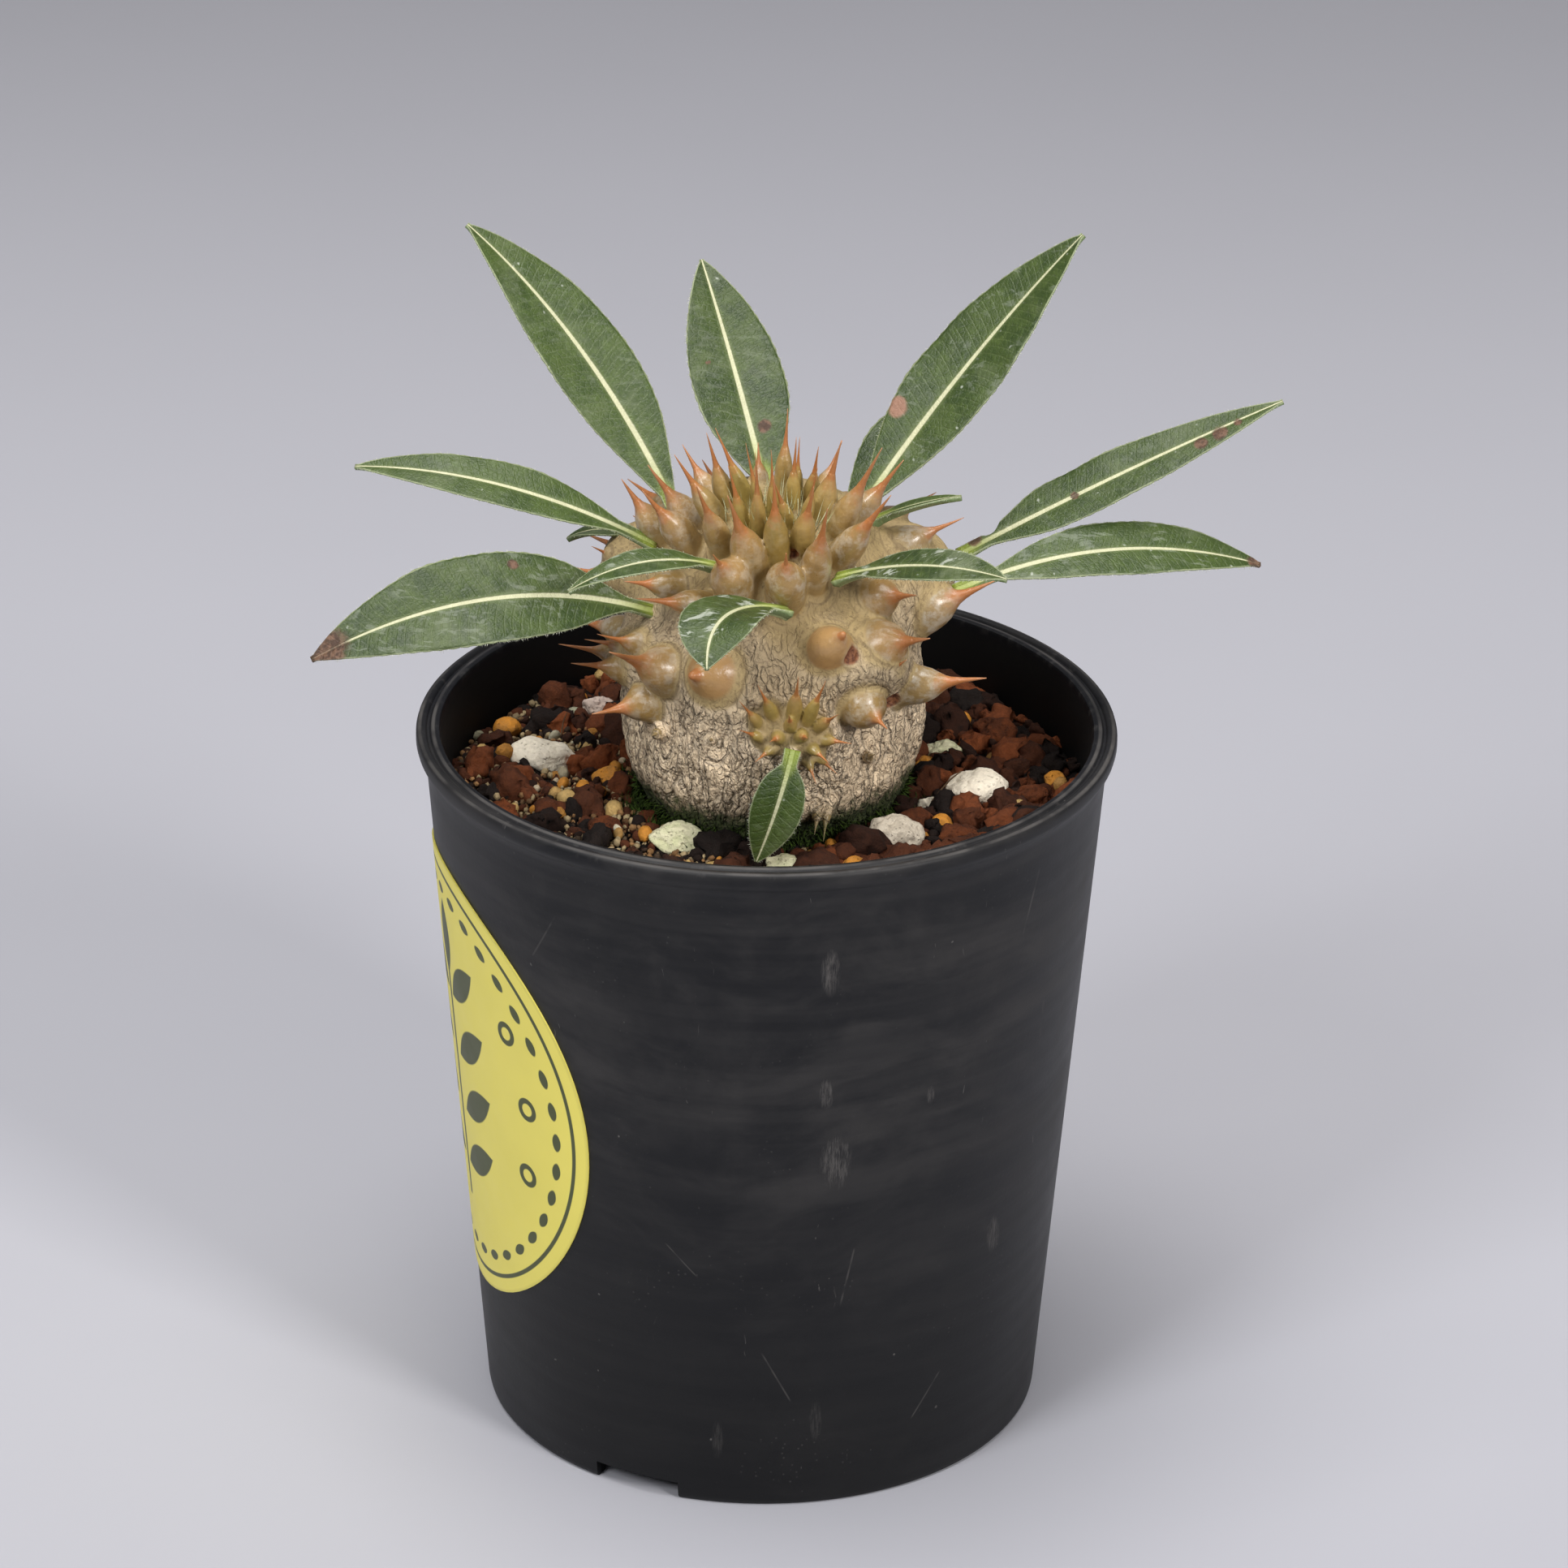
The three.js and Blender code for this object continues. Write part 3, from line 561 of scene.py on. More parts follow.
def openings():
    """A tree that cuts the notches in the foot and the holes in the base."""
    growth = Growth("pot_openings", Notch_Width=0.0105, Notch_Height=0.0022, Notch_Circle=0.0324,
                    Notch_Turn=0.07, Hole_Radius=0.004, Hole_Circle=0.017, Material=None)
    ring = growth.node("GeometryNodeMeshCircle", None, 3, growth.given("Notch Circle"))
    heading = growth.node("GeometryNodeInputPosition")
    facing = growth.node("FunctionNodeAlignRotationToVector", {"axis": "X"}, Vector=heading)
    size = growth.node("ShaderNodeCombineXYZ", None, 0.008, growth.given("Notch Width"),
                       growth.given("Notch Height") * 2)
    block = growth.node("GeometryNodeMeshCube", None, size)
    notches = growth.node("GeometryNodeInstanceOnPoints", None, ring, Instance=block,
                          Rotation=facing)
    turn = growth.node("ShaderNodeCombineXYZ", None, 0.0, 0.0, growth.given("Notch Turn"))
    notches = growth.node("GeometryNodeTransform", None, notches, Translation=POT_AXIS,
                          Rotation=turn)
    ring = growth.node("GeometryNodeMeshCircle", None, 6, growth.given("Hole Circle"))
    middle = growth.node("GeometryNodeMeshLine", None, 1)
    spots = growth.node("GeometryNodeJoinGeometry")
    growth.feed(spots.socket.node.inputs[0], ring)
    growth.feed(spots.socket.node.inputs[0], middle)
    drill = growth.node("GeometryNodeMeshCylinder", None, 32, Radius=growth.given("Hole Radius"),
                        Depth=0.012)
    holes = growth.node("GeometryNodeInstanceOnPoints", None, spots, Instance=drill)
    holes = growth.node("GeometryNodeTransform", None, holes, Translation=POT_AXIS)
    cut = growth.node("GeometryNodeMeshBoolean", {"operation": "DIFFERENCE", "solver": "EXACT"},
                      growth.given("Geometry"))
    for cutter in (notches, holes):
        growth.feed(cut.socket.node.inputs["Mesh 2"],
                    growth.node("GeometryNodeRealizeInstances", None, cutter))
    return growth.end(cut)


def plastic():
    """Matt black plastic with a film of dust and painted sheen, painted shade low down and inside,
    scratches, a scuffed rim and faint moulding bands.
    """
    sizes = pot_sizes()
    skin = Finish("nursery_plastic", Specular_IOR_Level=0.3)
    x, y, z = skin.axes()
    # The film is partly real dust and partly painted sheen: its moulding bands, clouds and wipes
    # stand in for the plastic's glossy mottles.
    bands = skin.grain(1, 3, 0.6, skin.stretched(0.012, 0.012, 0.28, skin.warped(30, 3)))
    cloud = skin.grain(13, 6, 0.66)
    wiped = skin.grain(1, 4, 0.6, skin.stretched(0.05, 0.05, 0.16, skin.warped(26, 16)))
    rub = skin.grain(1, 4, 0.7, skin.stretched(0.5, 0.5, 0.12))
    film = bands.step(0.4, 0.66) * 0.3 + cloud.step(0.42, 0.72) * 0.4 + wiped.step(0.45, 0.7) * 0.5
    # Painted shade: the film fades towards the bottom of the pot.
    film = film * (0.04 + 0.14 * z.step(12, 64))
    across = (x * x + y * y) ** 0.5
    outside = (across - (0.0804 * z + 32.4 - 0.9)).step(-0.2, 0.2)
    near = skin.warped(4, 2)
    specks = skin.cells(2.6, place=near)
    chosen = skin.node("ShaderNodeSeparateColor", None, specks.beside("Color")).step(0.8, 0.82)
    dots = (1 - specks.step(0.03, 0.08)) * chosen * 0.6
    dots = dots.most((1 - skin.cells(0.9).step(0.06, 0.2)) * skin.grain(9, 2).step(0.5, 0.7) * 0.2)
    runs = skin.grain(1, 2, 0.5, skin.stretched(2.6, 2.6, 0.09, near))
    runs = runs.step(0.7, 0.76) * skin.grain(11, 2).step(0.52, 0.66) * 0.5
    ragged = skin.grain(1, 4, 0.7, skin.stretched(4.5, 4.5, 0.45)).step(0.3, 0.72)
    marks = None
    for side, middle, wide, tall in SCUFFS:
        away = (abs(x - side) / wide) ** 2.0 + (abs(z - middle) / tall) ** 2.0
        away = away.step(0.1, 1.0)
        mark = (1 - away) * (y < 0.0)
        marks = mark if marks is None else marks.most(mark)
    marks = marks * ragged * (0.2 + 0.3 * z.step(10, 45))
    for side, middle, lean, tall in SCRATCHES:
        line = 1 - abs(x - side - (z - middle) * lean).step(0.05, 0.16)
        line = line * (1 - abs(z - middle).step(tall * 0.7, tall)) * (y < 0.0)
        marks = marks.most(line * skin.grain(3, 2).step(0.3, 0.6) * 0.26)
    top = z.step(83.2, 84.0)
    scuff = top * rub.step(0.5, 0.72) * 0.2
    lines = (1 - abs(across - 38.05).step(0.1, 0.3)).most(1 - abs(across - 39.6).step(0.1, 0.34))
    scuff = scuff.most(top * lines * (0.14 + 0.3 * skin.grain(5, 3).step(0.35, 0.65)))
    # worn holds the film's painted sheen as well as the dust specks, runs, scratches and scuffs.
    worn = (film * outside).most(dots * outside).most(runs * outside).most(marks).most(scuff)
    # Painted shade: the plastic's colour darkens towards the bottom of the pot.
    base = skin.toned(sizes.plastic, 0.4 + 0.6 * z.step(0, 50))
    tone = skin.blend(worn, base, sizes.dust_and_sheen)
    # Painted shade: the inside of the wall above the soil is made near black.
    inner = (1 - outside) * (1 - z.step(82.6, 84.0))
    tone = skin.blend(inner, tone, (0.0018, 0.0018, 0.002))
    rough = 0.26 + 0.2 * cloud + 0.1 * bands + 0.12 * wiped + 0.3 * worn + 0.2 * inner
    hoops = (z * 2.1 + 2.0 * skin.grain(20, 1)).sine() * 0.25 + bands * 2.0
    under = skin.relief(hoops * outside, 0.03)
    under = skin.relief(skin.grain(0.5, 3, 0.6), 0.012, under)
    return skin.set(Base_Color=tone, Roughness=rough, Normal=under)


def build_pot():
    sizes = pot_sizes()
    points, faces = turned(pot_outline(), sizes.sides)
    faces = [face[::-1] for face in faces]
    finish = plastic()
    host = solid("pot_turning", points, faces, finish)
    piece = grown("nursery_pot", host, openings(), finish, Notch_Width=sizes.notch_width,
                  Notch_Height=sizes.notch_height, Notch_Circle=sizes.foot_radius,
                  Notch_Turn=NOTCH_TURN, Hole_Radius=sizes.hole_radius,
                  Hole_Circle=HOLE_CIRCLE * MM)
    piece.data.set_sharp_from_angle(angle=SHARP_TURN)
    settle(piece, "nursery_plastic", "pot")


# The label

LABEL_HEIGHT = 44.5
LABEL_ANGLE = 193.6
# How far the label's two faces stand off the wall.
LABEL_INNER = 0.03
LABEL_OUTER = 0.22
LABEL_RINGS, LABEL_SIDES = 14, 96
# The sprig's leaves as side, height and tilt, and its berries as side and height.
SPRIG = ((7.4, 12.5, 38), (8.6, 5.0, 34), (9.0, -2.5, 30), (8.2, -10.0, 26))
BERRIES = ((15.6, 11.4), (18.4, 2.6), (17.6, -6.4))


def leaflet(film, across, up, side, height, tilt):
    """A pointed leaf of the printed sprig, 1 inside and 0 outside."""
    turn = math.radians(tilt)
    dx, dy = across - side, up - height
    along = (dx * math.cos(turn) + dy * math.sin(turn)) / 4.9
    wide = abs(dy * math.cos(turn) - dx * math.sin(turn)) / 1.9
    return 1 - (wide + along * along).step(0.94, 1.06)


def label_film():
    """Yellow film with a plain sprig, a few berries and a ring of dots inside a thin line."""
    sizes = pot_sizes()
    film = Finish("label_vinyl", Specular_IOR_Level=0.4)
    across, up = film.fields("across", "up")
    reach = (across * across + up * up) ** 0.5
    angle = film.node("ShaderNodeMath", {"operation": "ARCTAN2"}, up, across)
    ink = 1 - abs(reach - 25.4).step(0.2, 0.32)
    bead = ((angle * 18.0).sine() * 1.25) ** 2.0 + (abs(reach - 22.9) / 0.62) ** 2.0
    ink = ink.most(1 - bead.step(0.85, 1.15))
    stem = (1 - abs(across).step(0.4, 0.55)) * up.step(-17.2, -17.0) * (1 - up.step(13.0, 13.2))
    ink = ink.most(stem).most(leaflet(film, across, up, 0.0, 16.6, 90))
    mirrored = abs(across)
    for side, height, tilt in SPRIG:
        ink = ink.most(leaflet(film, mirrored, up, side - 2.6, height, tilt))
    for side, height in BERRIES:
        away = ((mirrored - side) ** 2.0 + (up - height) ** 2.0) ** 0.5
        ink = ink.most(1 - abs(away - 1.15).step(0.28, 0.42))
    ground = film.toned(sizes.label_yellow, 0.93 + 0.12 * film.grain(9, 3))
    tone = film.blend(ink * 0.94, ground, sizes.label_ink)
    tone = film.toned(tone, 1 - 0.12 * reach.step(26.9, 27.3))
    rough = 0.38 + 0.2 * film.grain(3, 3)
    return film.set(Base_Color=tone, Roughness=rough, Normal=film.relief(film.grain(6, 2), 0.03))


def build_label():
    radius = pot_sizes().label_radius / MM
    rings, around = LABEL_RINGS, LABEL_SIDES
    points, faces, spread, rise = [], [], [], []

    def place(reach, turn, proud):
        across, up = reach * math.cos(turn), reach * math.sin(turn)
        spread.append(across)
        rise.append(up)
        z = LABEL_HEIGHT + up
        angle = LABEL_ANGLE + math.degrees(across / wall_radius(LABEL_HEIGHT))
        points.append(polar(wall_radius(z) + proud, angle, z))

    for proud in (LABEL_OUTER, LABEL_INNER):
        place(0, 0, proud)
        for ring in range(1, rings + 1):
            reach = radius * (ring / rings) ** 0.8
            for i in range(around):
                place(reach, 2 * math.pi * i / around, proud)
    layer = 1 + rings * around

    def at(side, ring, i):
        return side * layer + (0 if ring == 0 else 1 + (ring - 1) * around + i % around)

    for i in range(around):
        faces.append((at(0, 0, 0), at(0, 1, i), at(0, 1, i + 1)))
        faces.append((at(1, 0, 0), at(1, 1, i + 1), at(1, 1, i)))
        for ring in range(1, rings):
            faces.append((at(0, ring, i), at(0, ring + 1, i), at(0, ring + 1, i + 1),
                          at(0, ring, i + 1)))
            faces.append((at(1, ring, i), at(1, ring, i + 1), at(1, ring + 1, i + 1),
                          at(1, ring + 1, i)))
        faces.append((at(0, rings, i), at(1, rings, i), at(1, rings, i + 1), at(0, rings, i + 1)))
    piece = solid("label_disc", points, faces, label_film(), {"across": spread, "up": rise})
    piece.data.set_sharp_from_angle(angle=SHARP_TURN)
    settle(piece, "label_vinyl", "label")


# The caudex

# The trunk's radius at each height.
TRUNK = ((60, 9.0), (65, 10.5), (73, 13.2), (77, 15.1), (81, 16.7), (86, 17.3), (91, 17),
         (96, 16), (101, 14.6), (106, 12.6), (110, 10.6), (116, 8.0))
TRUNK_X = 0.5
CROWN_TOP = 112.3
# The taproot's radius and height, from its tip.
TAPROOT = ((0, 33), (1.2, 34), (4, 45), (7.5, 56), (10.5, 65), (13.0, 72.4), (0, 72.4))
# Swellings of the trunk, as middle and half sizes.
HEADS = (((15, 3, 101.5), (6.2, 6.5, 6)), ((-3.4, -13.4, 95.4), (5.4, 3.6, 3.6)),
         ((-13.5, 4, 102), (5.5, 6, 5)), ((-12.5, -5, 95), (4.5, 5, 4)),
         ((3, -15.8, 90.8), (4.2, 3.4, 3.4)), ((9, -11, 97.5), (7, 6, 4.5)),
         ((1, 7, 103), (8, 6, 5)))

# Thorns as base, tip, thickness of the body, and how silvery the body is.
CROWN = (
    ((-12, -1, 107.5), (-16.5, -2, 115), 3.6, 0.6), ((-9, -7, 109.5), (-14, -10, 117), 3.6, 0.3),
    ((-8, -4, 109.8), (-13.5, -5, 118), 3.6, 0.7),
    ((-5.5, -6, 111.5), (-10.5, -8, 120.5), 2.8, 0.6),
    ((-5, -9, 109.5), (-8, -13, 119), 3, 0.2), ((-4.5, -3, 112), (-7, -4, 121.5), 2.4, 0.2),
    ((-2, -4, 112.5), (-6, -5, 122.5), 2.0, 0.1), ((-2.5, -8, 111), (-4.5, -11, 120.5), 2.0, 0.0),
    ((-1, -9, 110.5), (-1.5, -12, 122.5), 1.9, 0.0), ((-1.5, -11, 108), (-4.5, -16, 119), 4, 0.1),
    ((1, -10.5, 109), (0.5, -15, 121), 3, 0.0), ((2.5, -7.5, 111.5), (0.5, -10, 118.5), 1.7, 0.0),
    ((3.5, -9.5, 110), (5, -13, 119), 2.8, 0.0), ((5, -11, 106.5), (6.5, -17, 118), 3.6, 0.3),
    ((1.5, 0.5, 112.5), (2, 1, 122.5), 2.1, 0.0), ((2.5, -4, 112), (3, -5, 121.5), 1.9, 0.1),
    ((4.5, -2.5, 112), (5.5, -4, 120), 2.0, 0.0), ((5.5, -5, 111), (8, -7, 122), 3, 0.5),
    ((7, -6, 109.5), (12.5, -9, 122), 3.2, 0.3), ((9, -2, 109.5), (15, -4, 118.5), 3.4, 0.9),
    ((7.5, -8, 107.5), (13.5, -13, 118), 3.6, 0.4), ((-6, -12, 104), (-14.5, -17, 107), 3.4, 0.2),
    ((0.6, -6.5, 112), (0.2, -8.4, 121.4), 1.5, 0.0),
    ((4, -7, 111.6), (5.4, -9.6, 119.8), 1.5, 0.1),
    ((-0.8, -6, 112.2), (-2.6, -7.6, 121.8), 1.4, 0.2),
    ((3, -1.8, 112.3), (3.4, -2.2, 120.4), 1.5, 0.1),
    ((-6, 2, 110.5), (-9.8, 3.5, 117), 2.8, 0.4), ((-1, 4, 111), (-1.3, 5.5, 116.5), 2.4, 0.2),
    ((5.5, 2, 110.5), (8.2, 4, 117.5), 2.6, 0.4),
)
EGGS = (((-3, -12, 105.5), (-6, -18.5, 113), 4.5, 0.3),
        ((2, -12.5, 105), (2, -19, 113.5), 4.5, 0.3),
        ((9.6, -13.6, 94), (13.4, -19.4, 92.6), 5, 0.3))
FLANK = (
    ((-10, -8, 104.5), (-16, -10, 106), 3, 0.3), ((-10, -11, 95), (-17.5, -17, 100.5), 5, 0.3),
    ((-12, -10, 91.5), (-19.5, -15, 92), 4, 0.2), ((13.5, 0, 106), (22, 1, 109.5), 3, 0.7),
    ((16, -1, 98), (25.5, -3, 103.5), 5, 1.0), ((11.5, -8, 103.5), (16.5, -13, 106), 4.2, 0.0),
    ((11.5, -12, 99.5), (18, -18, 103), 5, 0.2),
    ((14.5, -9, 93), (24.5, -13, 96), 4.4, 0.7),
    ((-16, 2, 103), (-20, 1, 105.5), 1.8, 0.1), ((-17.5, 1, 101.5), (-22.5, 0, 103.5), 1.8, 0.1),
    ((-14.5, -5, 94.5), (-23.5, -6, 96.5), 2.6, 0.2), ((-14.5, -7, 94), (-22, -9, 95.5), 3, 0.1),
    ((-14, -6, 96), (-20.5, -8, 98), 2.4, 0.0), ((-13, -8, 97), (-19, -11, 100), 2.4, 0.1),
    ((12.5, -11.5, 95), (15.5, -16, 99.5), 2.6, 0.3),
)
# Fat bulbs whose needles broke off.
BROKEN = (((-3.9, -12.8, 96.0), (-8.2, -18.0, 98.2), 6.6, 0.1),
          ((6.2, -14.3, 99.2), (8.4, -18.3, 103.5), 4.5, 0.1))
# Pits where thorns fell off, as middle and radius.
SCARS = (((9.3, -16.7, 100.3), 1.05), ((13.6, -12.3, 92.7), 1.3), ((2.8, -10.9, 109.9), 0.6))
SPROUT = (
    ((-0.5, -18, 92), (-3, -21, 96.5), 1.4, 0.0), ((1, -18, 93), (-1, -21, 98.5), 1.6, 0.0),
    ((3, -18.5, 93.5), (3.5, -22, 100), 1.8, 0.0), ((4.5, -18.5, 93), (6.5, -22, 99.5), 1.6, 0.0),
    ((5.5, -18, 92), (8, -22, 95.5), 1.6, 0.0), ((5.5, -17.5, 90.5), (9.5, -20, 91), 1.6, 0.0),
    ((0, -18, 90.5), (-3, -21, 93), 1.4, 0.0), ((5, -17.5, 89), (8, -18.5, 86.5), 1.4, 0.0),
    ((1.7, -18.5, 91.2), (0.4, -22.3, 92.2), 1.7, 0.2),
    ((3.7, -18.7, 91.4), (4.6, -22.6, 92.8), 1.7, 0.2),
    ((2.7, -18.8, 92.3), (2.5, -22.6, 95.6), 1.5, 0.0),
    ((4.6, -18.4, 90.2), (7.0, -21.8, 89.4), 1.5, 0.4),
    ((1.1, -18.3, 90), (-1.2, -21.4, 89.3), 1.4, 0.2),
    ((4.4, -17.8, 88.6), (5.6, -20.4, 86.2), 1.3, 0.6),
)
BARK_THORNS = (
    ((6, -15, 81), (5.5, -18.5, 79), 1.5, 0.5), ((7, -15, 81.5), (6.5, -19, 78.4), 1.5, 0.5),
    ((11, -12, 85.5), (12.2, -16.2, 88), 1.6, 0.8), ((-6, -15, 89), (-6.2, -18.6, 90.6), 1.8, 0.9),
    ((-12, -12, 88.5), (-12.8, -15.4, 89.6), 1.6, 0.9),
    ((1.5, -16.2, 82), (1.2, -18.8, 81), 1.1, 0.5),
)
# Height, number and thickness of the thorns in each row at the back.
REAR_ROWS = ((105.5, 5, 3.4), (101, 6, 3.8), (96, 6, 4.2), (91.5, 5, 4))

# Radius of a thorn, as shares of its body's radius, along shares of its length.
THORN_SHARES = (-0.3, -0.12, 0.0, 0.1, 0.22, 0.32, 0.4, 0.48, 0.56, 0.64, 0.76, 0.9, 1.0)
THORN_WIDTHS = (0.75, 0.84, 0.92, 0.98, 1.0, 0.93, 0.8, 0.56, 0.34, 0.23, 0.14, 0.07, 0.02)
BULB_WIDTHS = (0.8, 0.9, 0.96, 1.0, 1.03, 1.03, 1.02, 0.98, 0.91, 0.81, 0.58, 0.26, 0.16)
EGG_WIDTHS = (0.75, 0.84, 0.92, 0.98, 1.02, 1.04, 1.02, 0.95, 0.76, 0.46, 0.14, 0.06, 0.02)
# Seeds of the chance in the bark's relief and in the thorns at the back.
BARK_SEED = 7
REAR_SEED = 7
# Radius below which a needle is too thin for the bark's mesh, in millimetres.
THINNEST = 0.42
# How softly each kind of thorn runs into what it grows from.
FILLETS = {"crown": 0.8, "egg": 0.8, "flank": 2.2, "broken": 1.4, "sprout": 0.5, "bark": 0.6}


def trunk_radius(z):
    return np.interp(z, *zip(*TRUNK))


def rear_thorns():
    chance = seeded(REAR_SEED)
    thorns = []
    for row, (z, count, thickness) in enumerate(REAR_ROWS):
        pitch = 136 / count
        stagger = 0.75 if row % 2 else 0.25
        for i in range(count):
            angle = 22 + pitch * (i + stagger + 0.1 * (next(chance) - 0.5))
            heading = angle + 0.5 * pitch * (next(chance) - 0.5)
            reach = 9 + 2 * next(chance)
            lean = math.radians(8 - 5 * row + 8 * next(chance))
            base = polar(trunk_radius(z) - 0.5, angle, z)
            tip = base + polar(reach * math.cos(lean), heading, reach * math.sin(lean))
            thorns.append((base, tip, thickness, (0.1, 0.7, 0.4, 0.9)[(row + i) % 4]))
    return thorns


class Thorn:
    """One thorn: a drop-shaped body that draws out to a slightly bent needle."""

    def __init__(self, row, kind, number):
        base, tip, thickness, silver = row
        self.base = np.array(base, float)
        self.reach = np.array(tip, float) - self.base
        self.size = float(np.linalg.norm(self.reach))
        self.along = self.reach / self.size
        self.radius = thickness / 2
        self.silver = silver
        self.kind = kind
        self.widths = {"broken": BULB_WIDTHS, "egg": EGG_WIDTHS}.get(kind, THORN_WIDTHS)
        rng = random.Random(number * 31 + 5)
        sideways = np.cross(self.along,
                            (rng.uniform(-1, 1), rng.uniform(-1, 1), rng.uniform(-1, 1)))
        self.bend = sideways / np.linalg.norm(sideways) * self.size * rng.uniform(0.02, 0.07)
        self.tint = rng.random()
        # The share up to which the bark's own mesh is fine enough. A tube makes the rest.
        thin = [-width * self.radius for width in self.widths[5:]]
        reaches = float(np.interp(-THINNEST, thin, THORN_SHARES[5:]))
        self.last = 1.0 if kind == "broken" else reaches

    def spine(self, share):
        share = np.asarray(share, float)
        curl = np.clip(share - 0.35, 0, None) ** 2 - 0.42 * np.clip(share, 0, 1) ** 4
        return self.base + share[..., None] * self.reach + curl[..., None] * self.bend * 2.0

    def width(self, share):
        return self.radius * np.interp(share, THORN_SHARES, self.widths)

    def nearest(self, points):
        """Distance from the thorn's surface, and the share of its length that is nearest."""
        share = np.clip((points - self.base) @ self.along / self.size, -0.3, self.last)
        away = np.linalg.norm(points - self.spine(share), axis=-1)
        return (away - self.width(share)) * 0.96, share


def eased(first, second, reach):
    """The nearer of two distances, with a soft fillet where they meet."""
    share = np.clip(0.5 + 0.5 * (second - first) / reach, 0, 1)
    return second + (first - second) * share - reach * share * (1 - share)


def trunk_distance(points):
    """Distance from the trunk with its side heads."""
    x, y, z = points[..., 0] - TRUNK_X, points[..., 1], points[..., 2]
    radial, angle = np.hypot(x, y), np.arctan2(y, x)
    cork = np.sin(9 * angle + 0.25 * z) * np.sin(5 * angle - 0.11 * z)
    fine = np.arange(56, 122, 0.25)
    window = np.exp(-np.linspace(-2, 2, 21) ** 2)
    even = np.convolve(trunk_radius(fine), window / window.sum(), "same")
    wall = np.interp(z, fine[12:-12], even[12:-12]) * (1 + 0.02 * (np.sin(3 * angle + 1) + cork))
    side = (radial - wall) * 0.97
    whole = -eased(-side, CROWN_TOP - z, 5.0)
    for centre, half in HEADS:
        local = points - np.array(centre)
        near = np.linalg.norm(local / half, axis=-1)
        far = np.linalg.norm(local / np.square(half), axis=-1)
        whole = eased(whole, near * (near - 1) / np.maximum(far, 1e-6), 4.0)
    return whole


def body_distance(points, thorns):
    """Distances from the caudex, its trunk alone and the nearest thorn, with the share of that
    thorn's length and its number."""
    whole = trunk = trunk_distance(points)
    nearest = np.full(points.shape[:-1], 1e3)
    share = np.zeros(points.shape[:-1])
    owner = np.zeros(points.shape[:-1], int)
    groups = {}
    for number, thorn in enumerate(thorns):
        away, along = thorn.nearest(points)
        groups[thorn.kind] = np.minimum(groups.get(thorn.kind, 1e3), away)
        closer = away < nearest
        nearest = np.where(closer, away, nearest)
        share = np.where(closer, along, share)
        owner = np.where(closer, number, owner)
    for kind, away in groups.items():
        whole = eased(whole, away, FILLETS[kind])
    return whole, trunk, nearest, share, owner


def gridded_distance(thorns, low, shape, pitch):
    """The same distance on a grid of points, with each thorn worked out only where it reaches."""
    axes = [low[i] + pitch * np.arange(shape[i]) for i in range(3)]
    points = np.stack(np.meshgrid(*axes, indexing="ij"), -1)
    whole = trunk_distance(points)
    groups = {}
    for thorn in thorns:
        ends = np.stack([thorn.spine(-0.3), thorn.spine(thorn.last)])
        pad = thorn.radius + 3.0
        first = np.clip(((ends.min(0) - pad - low) / pitch).astype(int), 0, shape)
        stop = np.clip(((ends.max(0) + pad - low) / pitch).astype(int) + 1, 0, shape)
        part = tuple(slice(a, b) for a, b in zip(first, stop))
        field = groups.setdefault(thorn.kind, np.full(shape, 1e3, np.float32))
        away, _ = thorn.nearest(points[part])
        field[part] = np.minimum(field[part], away)
    for kind, away in groups.items():
        whole = np.where(away < 4, eased(whole, away, FILLETS[kind]), whole)
    return whole


def skinned(field, low, pitch):
    """Points and four-sided faces of the surface where a gridded distance is zero."""
    field = field.copy()
    for axis in range(3):
        ends = [slice(None)] * 3
        for end in (0, -1):
            ends[axis] = end
            field[tuple(ends)] = np.maximum(field[tuple(ends)], pitch)
    inside = field < 0
    size = [n - 1 for n in field.shape]
    count = np.zeros(size, np.int8)
    corners = [(a, b, c) for a in (0, 1) for b in (0, 1) for c in (0, 1)]
    for a, b, c in corners:
        count += inside[a:a + size[0], b:b + size[1], c:c + size[2]]
    cell = np.argwhere((count > 0) & (count < 8))
    total, hits = np.zeros((len(cell), 3)), np.zeros(len(cell))
    for start in corners:
        for axis in range(3):
            if start[axis]:
                continue
            stop = list(start)
            stop[axis] = 1
            one = field[tuple((cell + start).T)]
            two = field[tuple((cell + stop).T)]
            crossed = (one < 0) != (two < 0)
            share = np.where(crossed, one / np.where(crossed, one - two, 1), 0)
            spot = np.array(start, float) + np.outer(share, np.eye(3)[axis])
            total[crossed] += spot[crossed]
            hits += crossed
    points = (cell + total / hits[:, None]) * pitch + low
    number = np.full(size, -1, np.int32)
    number[tuple(cell.T)] = np.arange(len(cell))
    faces = []
    for axis in range(3):
        b, c = (axis + 1) % 3, (axis + 2) % 3
        near = [slice(None)] * 3
        far = [slice(None)] * 3
        near[axis], far[axis] = slice(0, -1), slice(1, None)
        change = inside[tuple(near)] != inside[tuple(far)]
        spots = np.argwhere(change)
        keep = (spots[:, [b, c]] > 0).all(1) & (spots[:, b] < size[b]) & (spots[:, c] < size[c])
        spots = spots[keep]
        ring = []
        for db, dc in ((-1, -1), (0, -1), (0, 0), (-1, 0)):
            other = spots.copy()
            other[:, b] += db
            other[:, c] += dc
            ring.append(number[tuple(other.T)])
        ring = np.stack(ring, 1)
        outward = inside[tuple(spots.T)]
        faces.append(np.where(outward[:, None], ring, ring[:, ::-1]))
    return points, np.concatenate(faces)


def normals_of(points, faces):
    quad = points[faces]
    each = np.cross(quad[:, 2] - quad[:, 0], quad[:, 3] - quad[:, 1])
    total = np.zeros_like(points)
    for corner in range(4):
        np.add.at(total, faces[:, corner], each)
    return total / np.maximum(np.linalg.norm(total, axis=1), 1e-12)[:, None]


